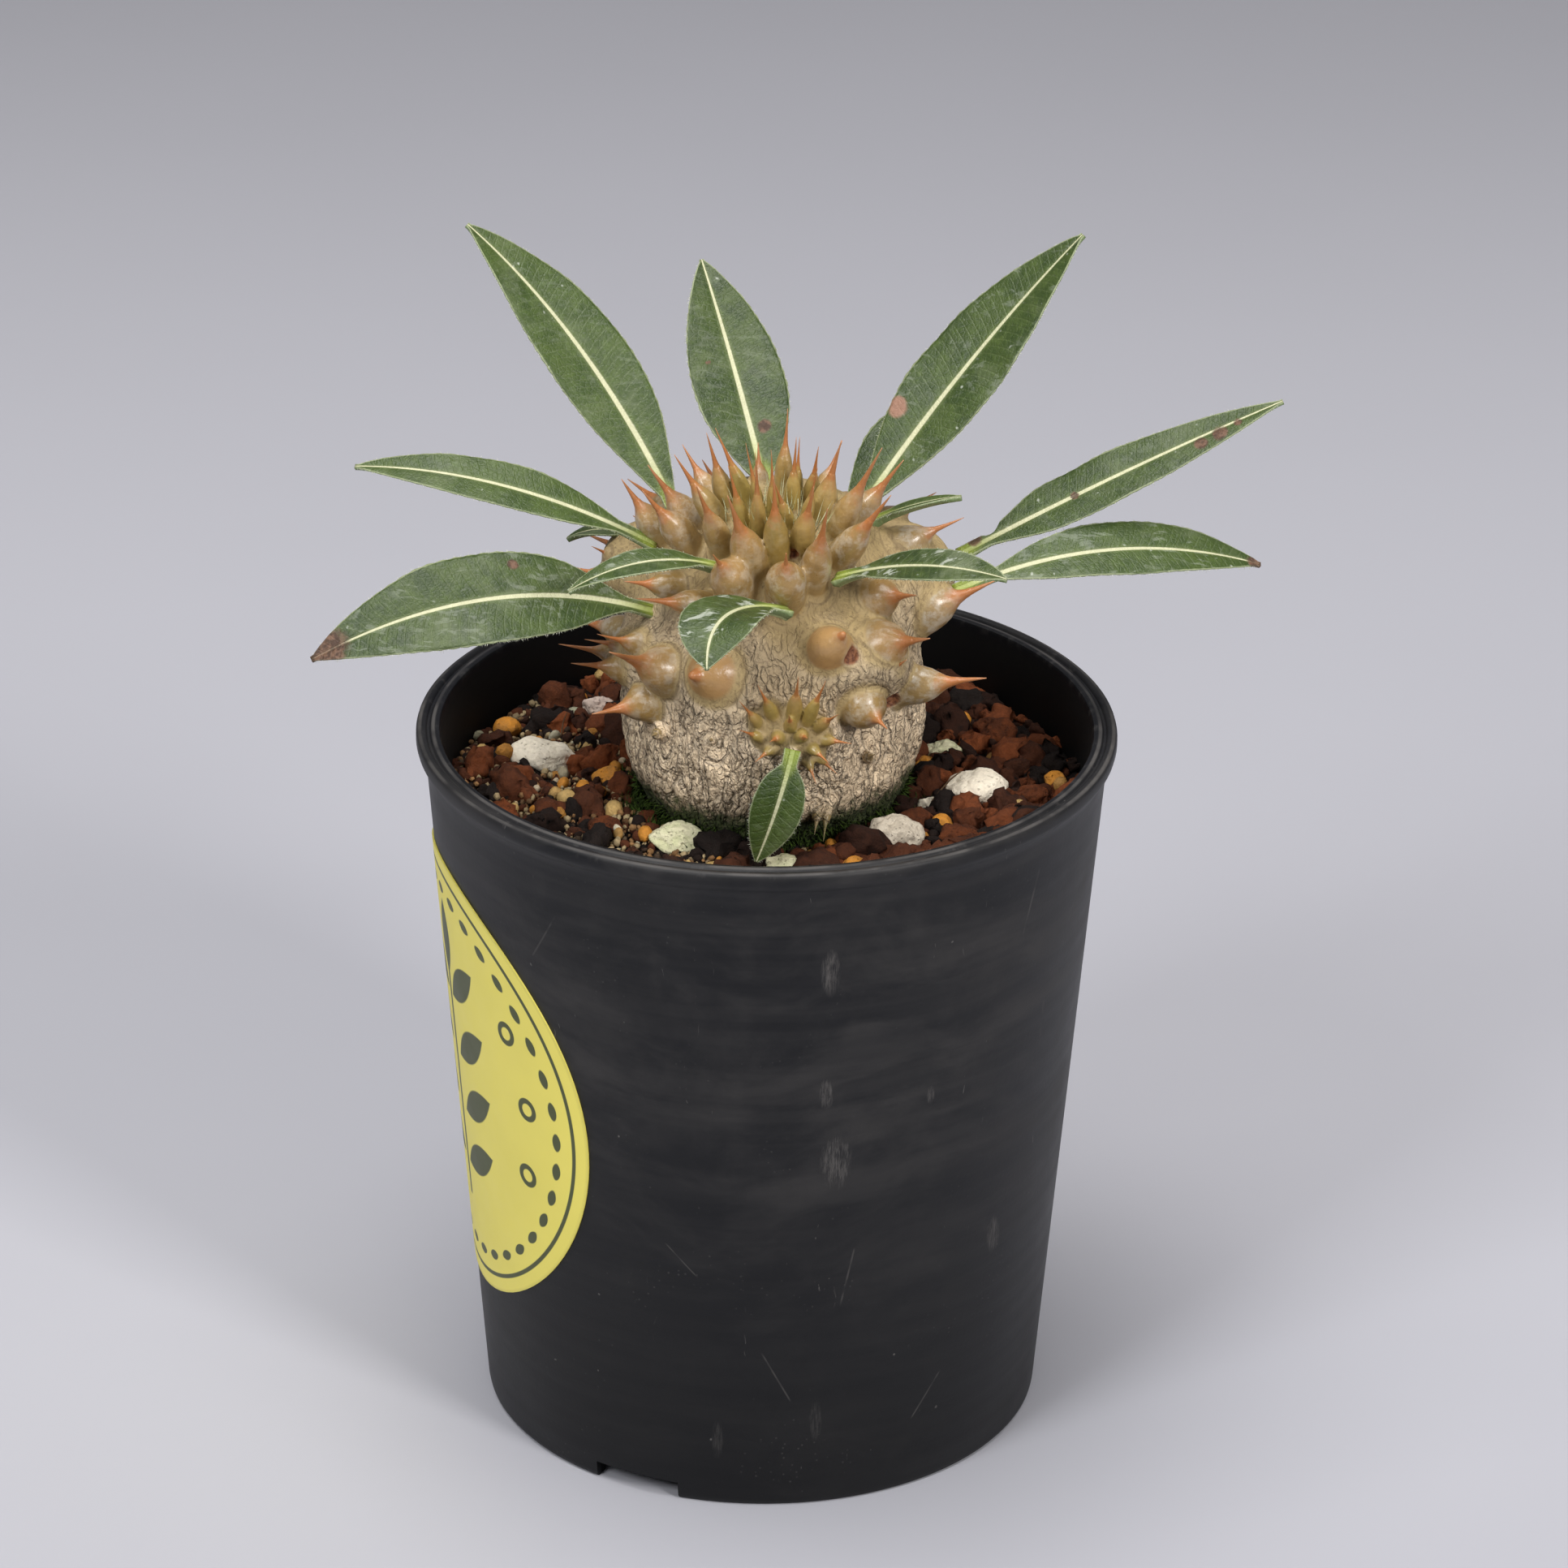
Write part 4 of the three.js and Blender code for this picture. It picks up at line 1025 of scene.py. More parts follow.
def all_thorns():
    kinds = (("crown", CROWN), ("egg", EGGS), ("flank", FLANK), ("flank", rear_thorns()),
             ("broken", BROKEN), ("sprout", SPROUT), ("bark", BARK_THORNS))
    rows = [(row, kind) for kind, group in kinds for row in group]
    return [Thorn(row, kind, number) for number, (row, kind) in enumerate(rows)]


def bark_relief(points, bark):
    """How far the cork stands out or sinks, in millimetres."""
    noise.seed_set(BARK_SEED)
    push = np.zeros(len(points))
    for i in np.nonzero(bark > 0.02)[0]:
        x, y, z = points[i]
        spot = Vector((x / 1.5, y / 1.5, z / 3.0))
        spot += noise.noise_vector(Vector((x, y, z)) / 2.6) * 0.45
        (near, next_near, _, _), _ = noise.voronoi(spot)
        crack = min(1.0, max(0.0, (next_near - near) / 0.22))
        rough = noise.fractal(Vector((x, y, z)) / 1.3, 1.0, 2.0, 3)
        swell = noise.noise(Vector((x, y, z)) / 5.0)
        push[i] = bark[i] * (0.26 * (crack - 0.8) + 0.14 * rough + 0.24 * swell)
    return push


def caudex_parts():
    thorns = all_thorns()
    pitch = plant_sizes().fineness / MM
    low, high = np.array([-26.0, -24.5, 72.0]), np.array([27.5, 27.5, 120.5])
    shape = tuple(((high - low) / pitch).astype(int) + 1)
    field = gridded_distance(thorns, low, shape, pitch)
    points, faces = skinned(field, low, pitch)
    normals = normals_of(points, faces)
    for _ in range(2):
        away = body_distance(points, thorns)[0]
        points = points - normals * np.clip(away, -0.2, 0.2)[:, None]
        normals = normals_of(points, faces)
    _, trunk, nearest, share, owner = body_distance(points, thorns)
    on_thorn = step(trunk - nearest, -0.2, 1.1)
    height = points[:, 2]
    low_bark = 1 - step(height + 1.5 * np.sin(points[:, 0] * 0.7), 94, 106)
    bark = np.clip(low_bark * step(nearest, 0.15, 1.6), 0, 1)
    bark = np.where(height < 89, np.maximum(bark, 0.9 * step(nearest, 0.05, 0.8)), bark)
    flakes = np.array([thorn.kind == "bark" for thorn in thorns])[owner] & (nearest < 2)
    bark = np.where(flakes, 0.8 * low_bark, bark)
    fields = thorn_fields(thorns, owner, share, on_thorn, points)
    dent = 0.55 * step(fields["scar"], 0.25, 0.7) - 0.12 * step(fields["scar"], 0.02, 0.2)
    points = points + normals * (bark_relief(points, bark) - dent)[:, None]
    fields["bark"] = bark
    fields["ring"] = np.clip(nearest, 0, 6)
    parts = [(points, faces.tolist(), fields)]
    for number, thorn in enumerate(thorns):
        if thorn.kind == "broken":
            continue
        shares = np.linspace(max(0.2, thorn.last - 0.12), 1.0, 12)
        widths = thorn.width(shares) * np.linspace(0.9, 1.0, 12) + 0.004
        tube, tube_faces = swept(thorn.spine(shares), widths, 10)
        along = np.repeat(shares, 10)
        more = thorn_fields(thorns, np.full(len(tube), number), along, np.ones(len(tube)), tube)
        parts.append((tube, tube_faces, {**more, "bark": 0.0, "ring": 0.0, "scar": 0.0}))
    root, root_faces = turned(TAPROOT, 40, closed=False)
    none = {**dict.fromkeys(fields, 0.0), "bark": 1.0}
    parts.append((root + (TRUNK_X, 0, 0), [face[::-1] for face in root_faces], none))
    return joined(parts)


def thorn_fields(thorns, owner, share, on_thorn, points):
    """The values that a thorn's own colours are made from, for each point."""
    kinds = np.array([thorn.kind for thorn in thorns])[owner]
    tint = np.where(kinds == "broken", 1.0, np.array([thorn.tint for thorn in thorns])[owner])
    base = np.array([thorn.base for thorn in thorns])[owner]
    inner = 1 - step(np.hypot(base[:, 0] - 0.5, base[:, 1] + 5.5), 3.0, 8.5)
    young = np.maximum(inner * step(base[:, 2], 107, 110), 0.8 * (kinds == "sprout"))
    share = np.where(kinds == "broken", 0.6 * np.clip((share - 0.8) / 0.14, 0, 1), share)
    share = np.where(kinds == "egg", share - 0.18 * step(share, 0.0, 0.5), share)
    faint = np.where(kinds == "bark", 0.4, 1.0)
    share, on_thorn = share * faint, on_thorn * faint
    scar = np.zeros(len(points))
    for middle, radius in SCARS:
        scar = np.maximum(scar, 1 - np.linalg.norm(points - middle, axis=1) / (1.6 * radius))
    silver = np.array([thorn.silver for thorn in thorns])[owner]
    return {"thorn": on_thorn, "tip": np.clip(share, 0, 1) * on_thorn, "silver": silver,
            "tint": tint, "young": young, "scar": scar}


def bark_finish():
    """Corky bark low down, smooth lined skin higher up, and tan thorns with orange needles."""
    sizes, soil = plant_sizes(), soil_sizes()
    skin = Finish("bark", Specular_IOR_Level=0.55, Coat_Roughness=0.16)
    x, y, z = skin.axes()
    bark, thorn, tip, ring = skin.fields("bark", "thorn", "tip", "ring")
    silver, tint, young, scar = skin.fields("silver", "tint", "young", "scar")
    high = z.step(88, 97)
    near = skin.warped(1.5, 1.0)
    plate_place = skin.stretched(1, 1, 0.5, near)
    plates = skin.cells(1.6, "DISTANCE_TO_EDGE", plate_place)
    plate_tone = skin.node("ShaderNodeSeparateColor", None,
                           skin.cells(1.6, "F1", plate_place, out="Color"))
    wave = abs((skin.grain(2.9, 1, 0.4, skin.stretched(1, 1, 0.25, near)) * 22).sine())
    small = abs((skin.grain(1.1, 1, 0.4, skin.stretched(1, 1, 0.4, near)) * 17).sine())
    broken = skin.grain(1.7, 3, 0.6)
    fissure = (1 - wave.step(0.03, 0.22)) * broken.step(0.38, 0.48)
    split = (1 - plates.step(0.01, 0.06)) * (1 - broken.step(0.5, 0.62)) * 0.8
    hair = (1 - small.step(0.04, 0.3)) * (0.1 + 0.5 * high)
    crack = (fissure * (1 - 0.35 * high)).most(split * (1 - 0.35 * high)).most(hair) * bark
    flake = skin.grain(0.6, 4, 0.65)
    pale = skin.toned(sizes.bark, 0.86 + 0.4 * plate_tone + 0.62 * flake)
    # Painted highlight: a paler band along both sides of each fissure, where the lifted plate edges
    # would catch the light.
    pale = skin.blend((1 - abs(wave - 0.5).step(0.0, 0.3)) * 0.3, pale, (0.72, 0.64, 0.53))
    dirt = skin.grain(3.5, 4, 0.6).step(0.5, 0.7) * 0.2
    pale = skin.blend(dirt, pale, (0.26, 0.18, 0.1))
    pale = skin.blend(high * 0.8, pale, (0.36, 0.27, 0.15))
    smooth = skin.toned(sizes.skin, 0.54 + 0.6 * skin.grain(2.4, 4, 0.6) + 0.16 * flake)
    smooth = skin.blend(small.step(0.0, 0.5) * -0.22 + 0.22, smooth, sizes.cracks)
    tone = skin.blend(bark.step(0.1, 0.6), smooth, pale)
    tone = skin.blend(crack * (0.76 + 0.14 * high), tone, sizes.cracks)
    lines = (ring * 8.5 + 5.0 * skin.grain(2.0, 2)).sine().step(0.35, 0.95)
    lines = lines * (1 - ring.step(0.4, 2.8))
    lines = lines * skin.grain(4.5, 1).step(0.46, 0.58) * (1 - thorn.step(0.2, 0.6)) * 0.4
    wrinkles = skin.grain(1, 3, 0.6, skin.stretched(2.2, 2.2, 0.9, near)).step(0.52, 0.66)
    wrinkles = wrinkles * (1 - thorn) * (1 - bark)
    tone = skin.blend(lines.most(wrinkles * 0.3), tone, sizes.cracks)
    damp = 1 - (z + 4.0 * (skin.grain(2.2, 3) - 0.5)).step(78.0, 83.0)
    tone = skin.blend(damp * 0.78, tone, (0.09, 0.062, 0.025))
    mossy = 1 - (z + 7.0 * (skin.grain(1.2, 4) - 0.5)).step(78.8, 81.2)
    tone = skin.blend(mossy * 0.92, tone, shade(soil.moss, 0.55))
    body = skin.blend(tint.step(0.1, 0.9) * 0.6, sizes.thorn, (0.35, 0.225, 0.085))
    # Pale patches on the thorn bodies: partly their own silvery grey skin and partly painted sheen.
    film = skin.grain(1.5, 4, 0.65).step(0.44, 0.62) * tip.step(0.04, 0.2) * (1 - young)
    body = skin.blend(silver * 0.35, body, (0.46, 0.38, 0.22))
    body = skin.blend(film * (0.3 + 0.35 * silver), body, (0.6, 0.55, 0.45))
    body = skin.blend(young * 0.7, body, sizes.young)
    body = skin.toned(body, 0.56 + 0.8 * skin.grain(1.3, 5, 0.65))
    body = skin.blend((1 - tip.step(0.02, 0.2)) * 0.15, body, sizes.skin)
    body = skin.blend(tip.step(0.1, 0.5) * tint * 0.3, body, (0.46, 0.23, 0.09))
    body = skin.blend((tint > 0.99) * 0.4 * (0.6 + 0.8 * skin.grain(2.5, 3)), body,
                      (0.5, 0.25, 0.1))
    point = skin.blend(tint * 0.6, sizes.needle, (0.36, 0.145, 0.05))
    point = skin.blend(tip.step(0.75, 1.0) * 0.3, point, (0.6, 0.34, 0.2))
    heat = (tip + 0.22 * (skin.grain(0.9, 3) - 0.5)).step(0.42, 0.64)
    body = skin.blend(heat * 0.92, body, point)
    speck = (1 - skin.cells(0.8, place=near).step(0.05, 0.16)) * skin.grain(4, 1).step(0.5, 0.6)
    body = skin.blend(speck * 0.3, body, (0.2, 0.12, 0.05))
    tone = skin.blend(thorn.step(0.15, 0.75), tone, body)
    tone = skin.blend(scar.step(0.0, 0.25) * 0.4, tone, (0.5, 0.38, 0.25))
    wound = skin.blend(skin.grain(0.4, 3).step(0.4, 0.6), (0.15, 0.05, 0.022), (0.3, 0.12, 0.05))
    tone = skin.blend(scar.step(0.22, 0.42), tone, wound)
    rough = 0.7 - 0.5 * thorn + 0.16 * bark + 0.24 * skin.grain(0.7, 3) * thorn
    gloss = thorn * (1 - heat) * (0.3 + 0.5 * silver) * skin.grain(1.6, 2).step(0.3, 0.6)
    lift = wave.step(0.0, 0.6) * 0.5 + plates.step(0.0, 0.2) * 0.25
    lift = lift + small.step(0.0, 0.6) * 0.25 + flake * 0.6
    under = skin.relief(lift * bark * (1 - 0.3 * high), 0.95)
    under = skin.relief((1 - lines) * 0.6 - wrinkles * 0.3, 0.14, under)
    under = skin.relief(skin.grain(0.3, 3, 0.6) + skin.grain(1.4, 2) * thorn * 2.0, 0.045, under)
    return skin.set(Base_Color=tone, Roughness=rough, Coat_Weight=gloss * 0.65, Normal=under)


def build_caudex():
    points, faces, fields = caudex_parts()
    piece = solid("caudex_body", points, faces, bark_finish(), fields)
    settle(piece, "bark", "caudex")


def build_fibres():
    """Thin pale fibres that stand among the youngest thorns."""
    rings, around, points = 6, 24, []
    for ring in range(rings):
        for i in range(around):
            turn, reach = math.radians(360 / around * i), 1.15 * ring
            points.append((0.8 + reach * math.cos(turn), -5.5 + 0.85 * reach * math.sin(turn),
                           111.2 - 0.05 * ring ** 2))
    host = solid("crown_ground", points, strips(rings, around), None,
                 {"share": [1.0] * len(points)})
    finish = grain_finish("crown_fibre", ((0.5, 0.52, 0.28), (0.62, 0.62, 0.4), (0.42, 0.42, 0.2)),
                          0.7)
    piece = grown("crown_fibres", host, blades(), finish, Apart=0.00055, Length=0.0052,
                  Thickness=0.00009, Sway=0.32, Seed=9)
    settle(piece, "bark")


# The leaves

# Base, tip, how far the middle bows out, width, where it is widest, roll, fold and how wide its
# stalk is.
LEAVES = {
    "leaf_up_left": ((-10.6, 3, 109.5), (-34.5, 20, 137), (1, 2.5, 1), 10, 0.48, -22, 8, 0.8),
    "leaf_up_middle": ((-0.5, 3.5, 112.5), (-8, 24, 131.5), (0, 1, 0.3), 10.8, 0.42, -5, 8, 0.8),
    "leaf_up_right": ((10.3, 4.2, 108.9), (35, 16, 138), (-0.6, 2, -0.2), 11, 0.5, 20, 8, 0.8),
    "leaf_up_right_rear": ((9, 8.2, 107.8), (25.5, 22, 121), (0, 1, 0), 9.6, 0.45, 5, 8, 0.8),
    "leaf_left_high": ((-12.5, -3, 107.5), (-46.5, 0, 115.5), (0, -1.5, 3), 6.4, 0.5, -25, 8, 0.3),
    "leaf_left_high_rear": ((-15, 4, 105.5), (-23, 6, 104.5), (0, 0, 1), 4, 0.5, 0, 8, 0.3),
    "leaf_left_low": ((-12, -6, 100.5), (-50.5, -18, 99.7), (0.5, -1.5, 5.2), 11.4, 0.52, -38, 6,
                      0.3),
    "leaf_left_short": ((-5, -13.5, 109.5), (-22, -20, 109.2), (0, -1, 2.5), 4.4, 0.5, -12, 6, 0.3),
    "leaf_front_bent": ((2.5, -16.5, 105.8), (-6.5, -28, 103.5), (-2.5, 0, 2.8), 9, 0.55, 0, 8,
                        0.3),
    "leaf_right_short": ((7.3, -12.2, 107.8), (26, -24, 113), (0, 0, 1.5), 5.6, 0.55, 18, 6, 0.3),
    "leaf_right_high": ((21.5, 5, 103.2), (58, 10, 120.5), (0, 0, 0.5), 7, 0.42, 28, 6, 0.3),
    "leaf_right_low": ((21, -1.5, 101.6), (56, 5, 102.5), (0, 0, 3.4), 7.6, 0.55, 28, 6, 0.3),
    "leaf_right_tiny": ((11.3, 0.3, 109.4), (21.5, -2, 113.5), (0, 0, 0.5), 2.6, 0.5, 0, 8, 0.3),
    "leaf_sprout": ((3, -20.2, 90.3), (-1, -22.5, 77.4), (0.3, -1.2, 0.5), 5.8, 0.5, 0, 8, 0.3),
}
FACING = {"leaf_sprout": (0.1, -1, 0.3)}
DUSTY = {"leaf_front_bent": 1.0, "leaf_right_short": 1.0, "leaf_left_short": 0.6,
         "leaf_left_low": 0.25, "leaf_up_right": 0.2, "leaf_right_low": 0.3, "leaf_up_middle": 0.12}
# Brown spots, as share of the length, share of the half width, and radius.
SPOTS = {
    "leaf_up_right": ((0.3, -0.78, 1.1),), "leaf_left_low": ((0.97, 0.1, 2.6), (0.42, 0.7, 0.6)),
    "leaf_right_high": ((0.74, 0.4, 0.8), (0.8, 0.35, 0.9), (0.36, 0.0, 0.5), (0.86, 0.2, 0.5),
                        (0.06, -0.9, 0.8)),
    "leaf_right_low": ((0.98, 0.0, 0.9),),
    "leaf_up_middle": ((0.52, -0.55, 0.3), (0.22, 0.36, 0.75)),
}
# Bites out of a margin, as share of the length, side, share of the half width and half length.
BITES = {"leaf_right_high": ((0.11, -1, 0.5, 0.9),)}
BLADE_THICKNESS = 0.45
LEAF_ROWS = 88
LEAF_COLUMNS = 22


class Blade:
    """A leaf's midrib and outline. Its share t runs from 0 at the base to 1 at the tip."""

    def __init__(self, name):
        self.name = name
        base, tip, bow, self.wide, self.widest, self.roll, self.fold, self.stalk = LEAVES[name]
        self.base, self.tip = np.array(base, float), np.array(tip, float)
        self.bend = (self.base + self.tip) / 2 + 2 * np.array(bow, float)
        self.facing = np.array(FACING.get(name, (0, 0, 1)), float)
        self.seed = sum(ord(letter) for letter in name)
        self.size = float(np.linalg.norm(self.tip - self.base))

    def frame(self, t):
        centre = (1 - t) ** 2 * self.base + 2 * t * (1 - t) * self.bend + t * t * self.tip
        along = 2 * (1 - t) * (self.bend - self.base) + 2 * t * (self.tip - self.bend)
        along /= np.linalg.norm(along)
        side = np.cross(along, self.facing)
        side /= np.linalg.norm(side)
        turn = Quaternion(Vector(along), math.radians(self.roll))
        side = np.array(turn @ Vector(side))
        return centre, along, side, np.cross(side, along)

    def half(self, t):
        shift = math.log(0.5) / math.log(self.widest)
        narrow = self.stalk + (1 - self.stalk) * float(step(t, 0, 0.3))
        full = narrow * math.sin(math.pi * min(t, 0.992) ** shift) ** 0.8 * self.wide / 2
        return max(full, 0.95 - 0.7 * min(1, t * 1.0))

    def point(self, t, column):
        """A point of the upper side, its up direction, and how far it lies from the rib."""
        centre, along, side, up = self.frame(t)
        half = self.half(t)
        waver = noise.noise(Vector((t * self.size / 6, self.seed, 2.0 * math.copysign(1, column))))
        edge = half * (1 + 0.035 * waver + 0.012 * math.sin(t * self.size * 4.2))
        for share, hand, deep, reach in BITES.get(self.name, ()):
            if hand * column > 0:
                edge *= 1 - deep * math.exp(-((t - share) * self.size / reach) ** 4)
        out = column * edge
        ease = abs(out) - 0.35 * (1 - math.exp(-abs(out) / 0.35))
        raised = ease * math.tan(math.radians(self.fold)) * min(1, 4 * t)
        droop = -0.045 * half * abs(column) ** 3
        flutter = 0.09 * half * waver * abs(column) ** 2 * min(1, 3 * t)
        groove = 0.12 * math.exp(-(out / 0.32) ** 2)
        return centre + side * out + up * (raised + droop + flutter - groove), up, out


def leaf_mesh(name):
    blade = Blade(name)
    columns = [math.copysign(abs(c) ** 0.85, c) for c in np.linspace(-1, 1, LEAF_COLUMNS + 1)]
    shares = np.linspace(0, 1, LEAF_ROWS + 1) ** 0.94
    top, under, fields = [], [], {key: [] for key in ("along", "across", "half", "spot", "rib")}
    for t in shares:
        for column in columns:
            point, up, out = blade.point(float(t), column)
            half = blade.half(float(t))
            thin = 0.35 + 0.65 * (1 - abs(column) ** 4)
            keel = 0.5 * math.exp(-(out / 0.5) ** 2) * (1 - 0.7 * float(t))
            keel += 0.45 * math.exp(-t * 14)
            top.append(point)
            under.append(point - up * (BLADE_THICKNESS * thin + keel))
            fields["along"].append(float(t) * blade.size)
            fields["across"].append(out)
            fields["half"].append(half)
            fields["rib"].append((0.09 + 0.3 * (1 - float(t)) ** 0.8)
                                 * min(1.0, blade.wide / 8.5) ** 0.6)
            spot = 0.0
            for far, wide, radius in SPOTS.get(name, ()):
                away = math.hypot((t - far) * blade.size, out - wide * half)
                spot = max(spot, 1 - away / (2 * radius))
            fields["spot"].append(spot)
    wide, count = len(columns), len(top)
    faces = []

    def at(layer, i, j):
        return layer * count + i * wide + j

    for i in range(LEAF_ROWS):
        for j in range(wide - 1):
            faces.append((at(0, i, j), at(0, i, j + 1), at(0, i + 1, j + 1), at(0, i + 1, j)))
            faces.append((at(1, i, j), at(1, i + 1, j), at(1, i + 1, j + 1), at(1, i, j + 1)))
        faces.append((at(0, i, 0), at(0, i + 1, 0), at(1, i + 1, 0), at(1, i, 0)))
        faces.append((at(0, i, wide - 1), at(1, i, wide - 1), at(1, i + 1, wide - 1),
                      at(0, i + 1, wide - 1)))
    for j in range(wide - 1):
        faces.append((at(0, 0, j), at(1, 0, j), at(1, 0, j + 1), at(0, 0, j + 1)))
        faces.append((at(0, LEAF_ROWS, j), at(0, LEAF_ROWS, j + 1), at(1, LEAF_ROWS, j + 1),
                      at(1, LEAF_ROWS, j)))
    fields = {key: values * 2 for key, values in fields.items()}
    fields["under"] = [0.0] * count + [1.0] * count
    fields["dusty"] = [DUSTY.get(name, 0.1)] * (2 * count)
    fields["leaf"] = [(blade.seed * 7 % 10) / 10] * (2 * count)
    fields["pink"] = [float(name == "leaf_up_right")] * (2 * count)
    return np.array(top + under), faces, fields


def leaf_finish():
    """A dark green blade with a pale rib and margin, fine side veins, water marks and spots."""
    sizes = plant_sizes()
    blade = Finish("leaf_blade", Specular_IOR_Level=0.4)
    along, across, half, width = blade.fields("along", "across", "half", "rib")
    spot, under, dusty, which, pink = blade.fields("spot", "under", "dusty", "leaf", "pink")
    out = abs(across)
    rib = 1 - (out / width).step(0.7, 1.25)
    sweep = along - out * 0.6 + 0.05 * out * out + 0.35 * blade.grain(3, 2)
    wave = (sweep * (2 * math.pi / 1.05)).sine()
    veins = wave.step(0.7, 1.0) * (1 - (out / half).step(0.75, 0.98)) * (out / width).step(1.2, 2.2)
    fine = blade.cells(0.55, "DISTANCE_TO_EDGE")
    mottle = blade.grain(3.4, 4, 0.6)
    pucker = blade.grain(0.8, 3, 0.6)
    green = blade.blend(mottle.step(0.35, 0.65), sizes.leaf_dark, sizes.leaf)
    green = blade.blend((pucker.step(0.45, 0.7) * 0.25 + 0.25 * which), green, (0.1, 0.15, 0.035))
    green = blade.blend(veins * 0.13, green, (0.16, 0.2, 0.08))
    green = blade.blend((1 - fine.step(0.0, 0.12)) * 0.16, green, (0.03, 0.055, 0.018))
    green = blade.blend((1 - (out / width).step(1.0, 3.0)) * 0.25, green, (0.19, 0.24, 0.075))
    bloom = blade.grain(5.5, 4, 0.65).step(0.48, 0.7) * (0.1 + 0.2 * dusty)
    green = blade.blend(bloom, green, (0.31, 0.34, 0.22))
    streak = blade.grain(1, 3, 0.6, blade.stretched(0.3, 1.2, 1.6, blade.warped(5, 3)))
    stain = streak.step(0.54, 0.62) * blade.grain(4.5, 2).step(0.45, 0.56) * dusty
    green = blade.blend(stain * 0.5, green, (0.6, 0.63, 0.55))
    chalk = 1 - blade.cells(1.7, place=blade.warped(2, 1)).step(0.04, 0.14)
    chalk = chalk * blade.grain(5, 1).step(0.52, 0.6)
    green = blade.blend(chalk * 0.5, green, (0.6, 0.63, 0.55))
    stalk = 1 - (along + 1.4 * out + 0.5 * blade.grain(1.5, 2)).step(1.4, 4.6)
    green = blade.blend(stalk * 0.85, green, sizes.stalk)
    cream = blade.blend(1 - along.step(0.0, 7.0), sizes.rib, (0.38, 0.45, 0.12))
    cream = blade.toned(cream, 0.82 + 0.26 * blade.grain(1.2, 2))
    tone = blade.blend(rib * 0.88, green, cream)
    margin = 1 - (half - out + 0.12 * blade.grain(0.5, 2)).step(0.1, 0.24)
    tone = blade.blend(margin * 0.6, tone, (0.42, 0.46, 0.27))
    back = blade.blend(rib * 0.7, blade.toned((0.19, 0.26, 0.11), 0.8 + 0.4 * mottle),
                       (0.45, 0.5, 0.24))
    back = blade.blend(veins * 0.25, back, (0.38, 0.45, 0.22))
    tone = blade.blend(under, tone, back)
    worn = (spot + 0.34 * (blade.grain(0.9, 4, 0.65) - 0.5)).step(0.34, 0.6)
    rust = blade.blend(blade.grain(0.7, 3).step(0.4, 0.62), (0.06, 0.022, 0.014),
                       (0.17, 0.085, 0.055))
    rust = blade.blend(pink * 0.7, rust, (0.42, 0.22, 0.15))
    tone = blade.blend(worn * 0.88, tone, rust)
    rough = 0.36 + 0.14 * mottle + 0.25 * bloom + 0.3 * stain + 0.15 * worn
    lift = blade.relief(veins * -0.25 + pucker * 0.7 + rib * -0.8, 0.1)
    lift = blade.relief(fine.step(0.0, 0.2) * 0.6 + blade.grain(0.25, 2) * 0.4, 0.035, lift)
    return blade.set(Base_Color=tone, Roughness=rough, Normal=lift)


def build_leaves():
    finish = leaf_finish()
    for name in LEAVES:
        points, faces, fields = leaf_mesh(name)
        piece = solid(name + "_blade", points, faces, finish, fields)
        settle(piece, "leaf_blade", name)


def fringe():
    """A tree that sets short hairs along edges, each leaning out of its leaf."""
    growth = Growth("leaf_fringe", Spacing=0.00022, Length=0.00034, Thickness=0.000035, Seed=3,
                    Material=None)
    edge = growth.node("GeometryNodeMeshToCurve", None, growth.given("Geometry"))
    edge = growth.node("GeometryNodeResampleCurve", {"mode": "LENGTH"}, edge,
                       Length=growth.given("Spacing"))
    sway = growth.chance((-0.75, -0.75, -0.75), (0.75, 0.75, 0.75))
    heading = growth.vector("ADD", growth.kept("outward", "FLOAT_VECTOR"), sway)
    return growth.end(growth.spikes(edge, heading, growth.chance(0.45, 1.3)))


def hair_finish():
    hair = Finish("margin_hair", Roughness=0.6)
    tone = hair.blend(hair.grain(2, 2), (0.6, 0.63, 0.46), (0.8, 0.8, 0.68))
    return hair.set(Base_Color=tone)


def build_fringe():
    """Hairs along both margins of every leaf, as one piece."""
    points, edges, outward = [], [], []
    for name in LEAVES:
        blade = Blade(name)
        for column in (-1.0, 1.0):
            count = int(blade.size / 1.2)
            first = len(points)
            for i in range(count + 1):
                t = 0.06 + 0.93 * i / count
                spot, up, _ = blade.point(t, column)
                side = blade.frame(t)[2] * column
                points.append(spot - up * 0.1 - side * 0.03)
                outward.append(side)
            edges += [(k, k + 1) for k in range(first, len(points) - 1)]
    mesh = bpy.data.meshes.new("margins")
    mesh.from_pydata(framed(points).tolist(), edges, [])
    layer = mesh.attributes.new("outward", "FLOAT_VECTOR", "POINT")
    layer.data.foreach_set("vector", np.array(outward, np.float32).ravel())
    host = bpy.data.objects.new("margins", mesh)
    bpy.context.scene.collection.objects.link(host)
    piece = grown("leaf_margin_hairs", host, fringe(), hair_finish())
    settle(piece, "leaf_blade")


# The stones

